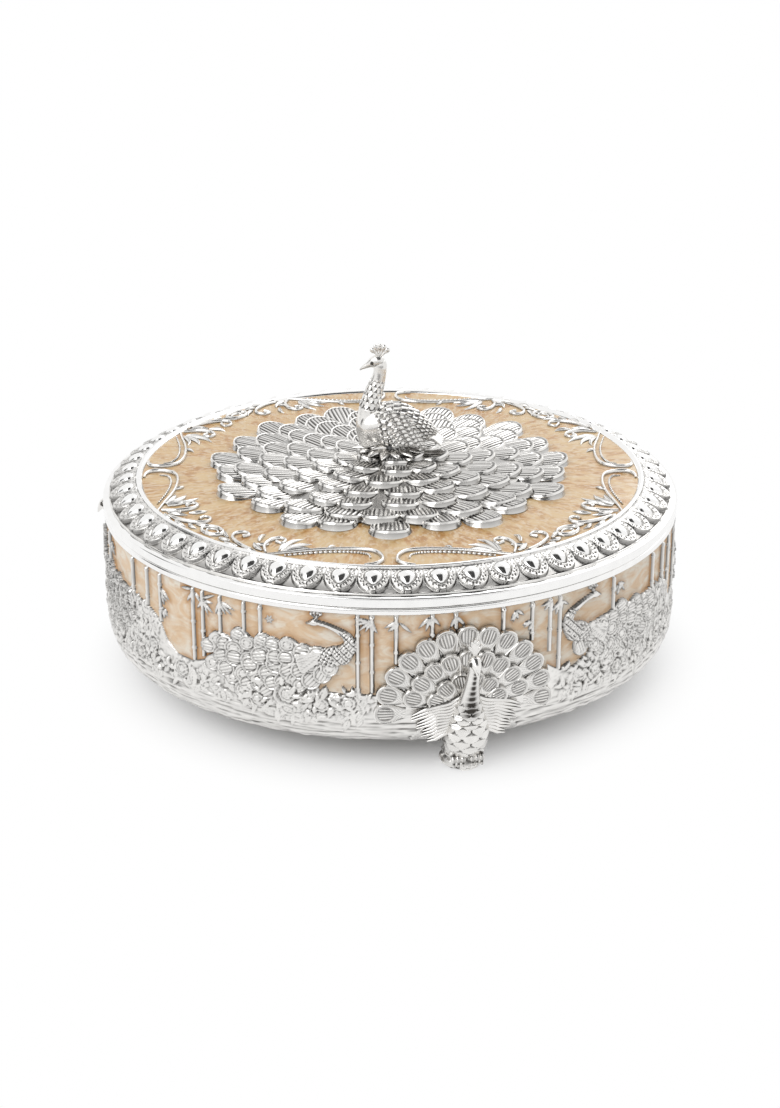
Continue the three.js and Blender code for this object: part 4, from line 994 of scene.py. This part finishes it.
def egg_cell(a, s, wide):
    """Height and painted shade (tone) over one egg's field: a across from the middle, s from 0 inside to 1 at the outer
    edge.
    """
    down = (s - EGG_MIDDLE) / np.where(s > EGG_MIDDLE, EGG_REACH[1], EGG_REACH[0])
    narrow = 1 - 0.34 * np.clip(down, 0, 2) ** 1.5
    pit = np.hypot(a / (EGG_HALF * wide * np.maximum(narrow, 0.2)), down)
    cup = np.hypot(a / (0.475 * wide), np.maximum(0, (s - 0.42) / 0.54))
    inner, outer = ramp(pit, 1.06, 1.16), ramp(cup, 1.0, 0.96)
    arm = inner * outer
    middle = np.clip((pit - 1.1) / np.maximum(pit - 1.1 + 1.45 * (1 - cup), 0.01), 0, 1)
    rails = bell(middle, 0.1, 0.1) + bell(middle, 0.9, 0.09)
    turn = np.arctan2(a / wide, s - 0.3)
    holes = sum(ramp(np.cos(turn * 17 + phase), 0.35, 0.85) * bell(middle, row, 0.14)
                for row, phase in ((0.36, 0), (0.66, math.pi)))
    edge_shade = bell(cup, 1.0, 0.045) * ramp(s, 0.2, 0.35)
    height = arm * (1.25 + 0.35 * rails - 0.5 * holes)
    # Painted shade: dark in the collar's holes, along the cup's edge, in the darts between cups and round the egg's
    # seat
    dark = np.clip(arm * (0.1 + 0.85 * holes) * (1 - 0.6 * rails) + 0.8 * edge_shade, 0, 1)
    dart = (1 - ramp(cup, 1.0, 0.97)) * ramp(s, 0.5, 0.9)
    height = height * ramp(s, -0.02, 0.4) - 0.5 * dart + 0.6 * ramp(s, 0.93, 0.97) + 0.7 * ramp(s, 0.05, 0.0)
    tone = np.maximum(dark, 0.55 * dart * ramp(s, 0.98, 0.9))
    return height, np.maximum(tone, 0.8 * ramp(pit, 1.16, 1.04) * ramp(s, 0.1, 0.22))


def egg_border():
    """Polished eggs in beaded cups round the lid's slope."""
    outer, inner = radius("egg_border"), radius("bead_ring") + 0.3
    rise, run = DISC_TOP - (BORDER_FOOT + 0.3), outer - inner
    long = math.hypot(rise, run)
    wide = TAU * (outer + inner) / 2 / EGG_COUNT

    def slope(a, s, height):
        """Places a turn in radians, a share of the way out and a height off the slope."""
        r = inner + s * run + height * rise / long
        return round_drum(r, a + LID_TURN * RADIAN, DISC_TOP - s * rise + height * run / long + SKIN_GAP)
    steps = EGG_COUNT * EGG_COLUMNS
    column = np.arange(steps)[None, :]
    s = np.linspace(0, 1, EGG_ROWS)[:, None]
    height, tone = egg_cell((column % EGG_COLUMNS / EGG_COLUMNS - 0.5) * wide, s, wide)
    points = slope(column / steps * TAU, s, height)
    points = np.concatenate([points, points[-1:] - np.array([0, 0, 1.2])])
    cast = Pieces().grid(points, UP, wrap=True, tone=np.concatenate([tone, tone[-1:]]))
    cast.object("egg_border_cast", "lid", ORNATE, ["egg_border"], edges=False)
    eggs = Pieces()
    tilt = np.linspace(0, math.pi / 2, 9)[:, None]
    round_turn = np.linspace(0, TAU, 25)[:-1][None, :]
    down = np.cos(tilt) * np.cos(round_turn)
    across = EGG_HALF * wide * (1 - 0.34 * np.clip(down, 0, 1) ** 1.5) * np.cos(tilt) * np.sin(round_turn)
    s = EGG_MIDDLE + down * np.where(down > 0, EGG_REACH[1], EGG_REACH[0])
    for k in range(EGG_COUNT):
        turn = (k + 0.5) * TAU / EGG_COUNT + across * TAU / (EGG_COUNT * wide)
        eggs.grid(slope(turn, s, 0.1 + 2.5 * np.sin(tilt)), UP, wrap=True)
    eggs.object("egg_domes", "lid", POLISHED, edges=False)


def bead_ring():
    """The plain ring inside the eggs."""
    ring = radius("bead_ring")
    bottom, top = low("bead_ring").z, high("bead_ring").z
    profile = rounded([(ring + 0.5, bottom), (ring + 0.5, top - 0.2), (ring - 1.2, top), (ring - 2.9, DISC_TOP + 0.5),
                       (ring - 3.1, bottom)], 0.8)
    turned_piece("bead_ring_round", "lid", POLISHED, profile, "bead_ring", UP)


def on_disc(turn, mirror):
    """Places (x, y, out) drawn with -y towards the front on the lid, turned and mirrored round its axis."""
    return lambda u, v, w: from_axis(*rotated(mirror * u, v, (turn + LID_TURN) * RADIAN), DISC_TOP + 0.05 + w)


# Scrollwork in an eighth of the lid. Rows: x, y, half width, depth
SCROLLS = (
    ((12, -128, 0.9, 1.2), (7, -127.5, 1.3, 2.0), (3.6, -124, 1.3, 2.4), (4.2, -117, 1.3, 2.4), (9, -111.6, 1.3, 2.4),
     (20, -109.8, 1.2, 2.2), (34, -110.6, 1.1, 2.0), (48, -113.6, 1.0, 1.8), (60, -116, 0.7, 1.4)),
    ((9, -120, 0.4, 0.8), (11, -115.5, 0.6, 1.3), (20, -113.2, 0.6, 1.3), (34, -113.8, 0.6, 1.3),
     (50, -117, 0.4, 1.0)),
    ((59, -114, 0.9, 1.6), (60, -106, 1.4, 2.4), (57.5, -99, 1.4, 2.4), (53, -96.4, 1.2, 2.2), (50, -99, 1.0, 2.0),
     (52, -102.4, 0.9, 1.8), (54.6, -100.6, 1.3, 2.2)),
    ((66, -110, 0.9, 1.6), (72, -104, 1.3, 2.4), (76, -96, 1.3, 2.4), (75, -90, 1.2, 2.2), (70.4, -88.6, 1.0, 2.0),
     (68, -92, 0.9, 1.8), (71.4, -94, 1.3, 2.2)),
)
# Leaves. Rows: x and y of the root, x and y of the tip, half width
LEAVES = ((50, -113, 36.5, -109.5, 1.5), (51, -112.5, 37.5, -103.5, 1.7), (52, -112, 42, -97, 1.8),
          (53, -111.5, 47, -102, 1.2), (61, -111, 65, -100.5, 1.7), (64, -112, 70, -108.5, 1.2),
          (63, -100, 60, -91, 1.5), (73, -106, 80, -100, 1.6), (77, -99, 83, -94.5, 1.2), (78, -95, 80, -86, 1.4),
          (58, -104, 66, -103.5, 1.0), (30, -110.4, 26, -105.6, 1.0))
# A leaf from root to tip. Rows: share of its length, of its bend, of its width and of its depth
LEAF_SHAPE = ((0, 0, 0.3, 0.6), (0.35, 0.8, 1.0, 1.0), (0.7, 0.9, 0.8, 0.9), (1, 0, 0.08, 0.3))
CARTOUCHE = (86.5, -86.5, 6.4, 4.2)      # x, y and half sizes of the ovals between the brackets
BEADED = 1            # the scroll that is a string of beads
HALF_TURN = (0, 180)


def painted_foot_shade(turn):
    """Painted shade on a limb that lies on the lid, only along its foot."""
    return 0.85 * ramp(np.sin(turn), 0.5, 0.1)


# A limb with painted shade along its foot.
def rooted(t, turn):
    return 0, painted_foot_shade(turn)


def strung(t, turn):
    """A string of small beads, with painted shade between them."""
    bead = np.cos(TAU * 26 * t)
    return 0.22 * bead, np.maximum(0.9 * ramp(bead, -0.1, -0.7), painted_foot_shade(turn))


def veined(t, turn):
    """A leaf's sunk midrib, with painted shade in it and along its foot."""
    rib = bell(turn, math.pi / 2, 0.22) * ramp(t, 0.95, 0.8)
    return -0.35 * rib, np.clip(painted_foot_shade(turn) + 0.7 * rib, 0, 1)


def scrolls():
    """Scrolls, leaves, strings of beads and cartouches round the lid's enamel."""
    for k in range(4):
        pieces = Pieces()
        for mirror in (1, -1):
            place = on_disc(90 * k, mirror)
            for number, path in enumerate(SCROLLS):
                thin = [(x, y, 0.72 * half, 0.85 * depth) for x, y, half, depth in path]
                count, pattern = (160, strung) if number == BEADED else (30, rooted)
                pieces.limb(UP, thin, place, count, 11, pattern, HALF_TURN)
            for x0, y0, x1, y1, half in LEAVES:
                bend = 0.12 * (y1 - y0), -0.12 * (x1 - x0)
                at = [(x0 + (x1 - x0) * f + bend[0] * h, y0 + (y1 - y0) * f + bend[1] * h, 0.85 * half * w, 1.9 * d)
                      for f, h, w, d in LEAF_SHAPE]
                pieces.limb(UP, at, place, 14, 13, veined, HALF_TURN)
        x, y, a, b = CARTOUCHE
        for scale, half in ((1, 0.95), (0.55, 0.5)):
            ring = []
            for turn in np.linspace(0, TAU, 13):
                out, side = scale * b * math.cos(turn), scale * a * math.sin(turn)
                ring.append((x + (out + side) * math.sqrt(0.5), y - (out - side) * math.sqrt(0.5), half, 1.9 * scale))
            pieces.limb(UP, ring, on_disc(90 * k, 1), 40, 9, rooted, HALF_TURN)
        pieces.object(f"lid_scrolls_{k + 1}", "lid", ORNATE, [f"scroll_bracket_{k + 1}", f"leaf_spray_{k + 1}"])


def disc():
    """The enamel, a smooth plate that rises a little towards the rosette."""
    edge = DISC_RADIUS + 0.2
    profile = [(r, DISC_TOP + 0.08 + 0.6 * (1 - (r / edge) ** 2)) for r in np.linspace(60, edge, 24)]
    turned_piece("enamel_plate", "lid", DISC, profile, "enamel_disc", UP)


# Birds
def scaled(rows, columns, depth, start, end=1.0, point=-1, dark=1.0):
    """Overlapping scales round a limb, their tips at smaller t where point is -1, with painted shade as dark lines
    under the tips.
    """
    def pattern(t, turn):
        y = t * rows * -point
        row = np.floor(y) + 1
        x = turn / TAU * columns + 0.5 * (row % 2)
        rho = np.hypot(((x % 1) - 0.5) * 2, row - y)
        fade = ramp(t, start, start + 0.04) * ramp(t, end + 0.04, end)
        swell = np.where(rho < 1, 0.25 + 0.75 * rho ** 2, 0)
        return depth * (swell - 0.4) * fade, dark * ramp(rho, 0.97, 1.05) * ramp(rho, 1.5, 1.1) * fade
    return pattern


def blackened(t, turn):
    """A bird's eye."""
    return 0, 0.95


def knob_place(u, v, w):
    """u is along the bird towards its tail, v the height and w across."""
    return from_axis(*rotated(u, w, LID_TURN * RADIAN), v)


def knob():
    """The seated peacock. Rows: along, height above the seat, half height, half width"""
    seat = low("knob_peacock").z
    pieces, crest = Pieces(), Pieces()

    def limb(rows, count, sides, pattern=None, place=knob_place, middle=10, into=pieces):
        rows = [(along, seat + up, tall, wide) for along, up, tall, wide in rows]
        into.limb(("from", (AXIS.x, AXIS.y, seat + middle)), rows, place, count, sides, pattern)

    # Body, neck and head
    limb(((-16.5, 9, 3.0, 4.0), (-13, 10, 8.5, 8.5), (-5, 12, 11, 10.3), (3, 12.6, 11.4, 10.5), (11, 11.0, 9.2, 9),
          (18, 8.6, 6.2, 6.4), (24, 6.4, 2.4, 3.2)), 140, 120, scaled(17, 20, 1.1, 0.3, point=1))
    limb(((-8.5, 3, 7.4, 7.8), (-10.4, 11, 7.4, 7.6), (-10.6, 19, 6.0, 6.0), (-9.2, 27, 4.8, 4.6),
          (-6.9, 34, 3.9, 3.6), (-5.3, 40, 3.4, 3.1), (-5.1, 45, 3.4, 3.0), (-6.0, 47.6, 1.6, 1.6)),
         130, 90, scaled(18, 11, 0.6, 0.3, 0.6))
    limb(((-3.5, 45.5, 1.8, 1.8), (-5.6, 46.4, 3.4, 3.0), (-8.6, 45.8, 3.0, 2.6), (-11, 44.6, 1.7, 1.5),
          (-13.2, 43.4, 1.1, 0.9), (-15.6, 41.8, 0.35, 0.3)), 24, 24)
    # Wings, toes and eyes
    for side in (-1, 1):
        for k in range(8):
            lift = 19.5 - 2.1 * k
            shift = side * (8.2 + 0.4 * k)
            limb(((-8 + 1.3 * k, lift - 0.5, 0.9, 1.2), (-2 + 1.3 * k, lift + 0.8, 1.6, 1.3),
                  (6 + 1.2 * k, lift - 0.6, 1.6, 1.2), (12 + 1.0 * k, lift - 3.2, 0.5, 0.6)),
                 70, 30, scaled(11, 5, 0.5, 0.0, 0.9, point=1),
                 lambda u, v, w: knob_place(u, v, w + shift - side * 0.012 * (u - 2) ** 2))
        for toe in (-1, 0, 1):
            limb(((-2, 1.2, 0.9, 0.9), (-6, 1.4, 1.1, 1.1), (-10 + abs(toe), 0.8, 0.7, 0.8)), 8, 8,
                 place=lambda u, v, w: knob_place(u, v, w + side * 5.5 + toe * 0.22 * (-u)))
        limb(((-10.2, 45.6, 0.1, 0.1), (-9.3, 46.0, 1.1, 0.6), (-8.2, 46.2, 0.1, 0.1)), 8, 8, blackened,
             lambda u, v, w: knob_place(u, v, w + side * 2.5))
    # The ring of feathers under it, the tail and the crest
    for k in range(14):
        def spray_place(u, v, w):
            x, y = rotated(u, w, 0.449 * k)
            return knob_place(x, v, y)
        limb(((6, 0.2, 0.5, 1.4), (11, 0.3, 1.0, 2.6), (15, -0.2, 1.0, 2.0),
              (18.5 + 1.5 * math.sin(2.1 * k), -0.8, 0.3, 0.3)), 16, 12, place=spray_place, middle=-4)
    for k in range(-4, 5):
        turn = k * 15
        limb(((14, 8, 1.2, 2.0), (22, 7.2, 1.3, 2.4), (28 - 0.4 * abs(k), 4.4, 0.5, 1.2)), 12, 10,
             place=lambda u, v, w: knob_place(u, v - 0.02 * abs(turn), w + (u - 12) * math.sin(turn * RADIAN) * 0.55))
    for k in range(-2, 3):
        turn = (90 + k * 24) * RADIAN
        c, s = math.cos(turn), math.sin(turn)
        limb(((-5.2, 48.3, 0.45, 0.45), (-5.2 + 3 * c, 48.3 + 3.4 * s, 0.5, 0.45),
              (-5.2 + 4.4 * c, 48.3 + 5.2 * s, 1.3, 0.7), (-5.2 + 5.6 * c, 48.3 + 6.8 * s, 1.2, 0.7),
              (-5.2 + 6.2 * c, 48.3 + 7.7 * s, 0.3, 0.3)), 16, 10, middle=50, into=crest)
    pieces.object("knob_bird", "lid", ORNATE, ["knob_peacock"])
    crest.object("knob_crest_plumes", "lid", ORNATE, ["knob_crest"])


def veined_plume(t, turn):
    """Painted shade along both edges of a crest plume."""
    return 0, 0.8 * ramp(abs(np.sin(turn)), 0.75, 1.0)


def chest_scales(t, turn):
    """Scales up to the throat, then plates down the front of the neck, with painted shade under the scales, in the
    joints between the plates, over the neck's front and down its sides.
    """
    grow, tone = scaled(24, 7, 1.0, 0.03, 0.5, dark=0.9)(t, turn)
    width = 0.28 + 0.35 * ramp(t, 0.75, 0.4)
    front = bell(turn, math.pi, width) * ramp(t, 0.38, 0.46) * ramp(t, 0.97, 0.9)
    joint = ramp(np.cos(TAU * t * 22), 0.8, -0.1)
    side = bell(abs(turn - math.pi), 1.25, 0.14) * ramp(t, 0.45, 0.55) * ramp(t, 0.97, 0.9)
    stripe = np.clip(1.4 * front * (0.35 + 0.65 * joint), 0, 1)
    return grow + 0.3 * front * (1 - joint), np.clip(tone + stripe + 0.5 * side, 0, 1)


def knuckled(t, turn):
    """Joints along a toe, with painted shade between them and down its sides."""
    joint = np.cos(TAU * 3 * t + 0.8)
    return 0.3 * joint, np.clip(0.8 * ramp(joint, -0.3, -0.95) + 0.5 * ramp(abs(np.cos(turn)), 0.8, 1.0), 0, 1)


def stone(seed):
    """A rough, squarish rock, with painted shade in its hollows."""
    def pattern(t, turn):
        around = turn / TAU
        lump = noise(around * 14, t * 6, 21 + seed, 14)
        chip = noise(around * 32, t * 14, 31 + seed, 32)
        square = 1 / np.maximum(abs(np.cos(turn)), abs(np.sin(turn))) ** 0.6 - 1
        rough = (2.2 * (lump - 0.6) + 1.1 * (chip - 0.5)) * ramp(t, 0.02, 0.2)
        return rough + 8 * square * 0.5, 0.95 * ramp(0.7 * lump + 0.3 * chip, 0.5, 0.33)
    return pattern


def foot(number):
    """A peacock standing as a foot. Rows: reach, height, half depth, half width"""
    pieces = Pieces()

    def stand(u, v, w):
        """u is the reach from the wall, v the height and w across."""
        return from_axis(*rotated(w, -(DRUM + u), number * 360 / FOOT_COUNT * RADIAN), v)

    def limb(rows, count, sides, pattern=None, across=lambda u, v: 0):
        def place(u, v, w):
            """A place by the foot, kept out of the case's inside."""
            return stand(np.maximum(u, -1.2 - 0.9 * np.maximum(24 - v, 0)), v, w + across(u, v))
        pieces.limb(("from", stand(-6.0, 30.0, 0.0)), rows, place, count, sides, pattern)

    # Rock, breast with neck, and head
    limb(((-6.5, 0.9, 9.2, 9.4), (-6.5, 2.2, 9.8, 9.9), (-6.0, 4.5, 9.2, 9.5), (-6.2, 8, 8.4, 8.8),
          (-6.5, 14, 8.8, 9.2)), 44, 96, stone(number))
    limb(((-4.5, 8, 6, 8.5), (0.5, 14, 7.4, 9.9), (3.4, 21, 7.2, 10.1), (4.2, 28, 5.8, 8.6), (5.2, 34, 4.6, 6.4),
          (7.6, 42, 3.5, 4.6), (10.6, 50, 2.9, 3.5), (13.2, 57, 2.6, 3.0), (14.6, 61.5, 2.8, 3.1),
          (15, 64.5, 1.4, 1.5)), 190, 120, chest_scales)
    limb(((12, 61.5, 1.8, 2.0), (14.4, 62.6, 3.4, 3.4), (17, 61.6, 2.6, 2.6), (19, 59.4, 1.4, 1.3),
          (20.4, 56.6, 0.4, 0.4)), 24, 24)
    # Toes, thighs, eyes and wings
    for side in (-1, 1):
        for toe in (-1, 0, 1):
            limb(((-1, 10.5, 1.5, 1.4), (3.0, 9.6, 1.7, 1.6), (5.2, 6.6, 1.3, 1.2), (5.6, 3.6, 0.5, 0.5)),
                 24, 16, knuckled, lambda u, v: side * 4.6 + toe * 2.3)
        limb(((-3, 17, 2.2, 2.2), (0.5, 13, 2.6, 2.6), (1.5, 10, 1.8, 1.8)), 12, 16, None, lambda u, v: side * 5)
        limb(((15.6, 62.6, 0.1, 0.1), (16.6, 62.4, 1.5, 0.9), (17.8, 61.8, 0.1, 0.1)), 8, 8, blackened,
             lambda u, v: side * 2.6)
        for j in range(5):
            limb(((-1.5 - 1.2 * j, 36 - 2.4 * j, 1.0, 1.2), (0.5 - 1.3 * j, 28 - 2.0 * j, 1.8, 1.2),
                  (-1.5 - 1.5 * j, 20 - 1.2 * j, 1.6, 1.0), (-4 - 1.5 * j, 14 - 0.8 * j, 0.4, 0.4)),
                 36, 16, quill, lambda u, v: side * (8.2 + 0.6 * j))
    # Crest
    for j in range(-2, 3):
        turn = j * 24 * RADIAN
        plume = ((0, 0.4, 0.4), (3, 0.5, 0.5), (5.5, 0.8, 1.0), (7.4, 0.8, 1.1), (9, 0.3, 0.4))
        limb([(14.2, 65 + up * math.cos(turn), deep, wide) for up, deep, wide in plume], 24, 14, veined_plume,
             lambda u, v: (v - 65) * math.tan(turn) * 0.42)
    pieces.object(f"foot_bird_{number + 1}", "case", ORNATE, [f"foot_peacock_{number + 1}"])


TRAY_OVERLAP = 0.4    # the tray's walls end inside its floor, so that no gap shows


def tubes():
    """Plain tubes, turned round and with softened rims."""
    for name, body in (("tray_cup", "tray"), ("tray_wall", "tray"), ("case_wall", "case"), ("lid_flange", "lid")):
        node = frame["nodes"][name]
        corners = np.array([node.matrix_world @ vertex.co for vertex in node.data.vertices]) / MM
        reach = np.hypot(corners[:, 0] - AXIS.x, corners[:, 1] - AXIS.y)
        inner, outer, top = reach.min(), reach.max(), high(name).z
        bottom = low(name).z - (TRAY_OVERLAP if body == "tray" else 0)
        middle = (inner + outer) / 2
        section = ((middle, bottom), (outer, bottom), (outer, top), (inner, top), (inner, bottom), (middle, bottom))
        turned_piece(f"{name}_turned", body, SATIN, rounded(section, 0.5), name, sides=240)


def finish_plain():
    """The model's own pieces take a finish, and those that nothing stands for keep their shape."""
    for name, node in frame["nodes"].items():
        steel = name.startswith(("foot_screw", "knob_stud", "knob_washer", "knob_nut"))
        node.data.materials.clear()
        node.data.materials.append(FELT if name == "felt_pad" else STEEL if steel else SATIN)


finish_plain()
tubes()
dressed_wall()
fans()
for number in range(FOOT_COUNT):
    foot(number)
rims()
egg_border()
bead_ring()
disc()
scrolls()
rosette()
knob()

bpy.context.scene.view_settings.view_transform = "Standard"
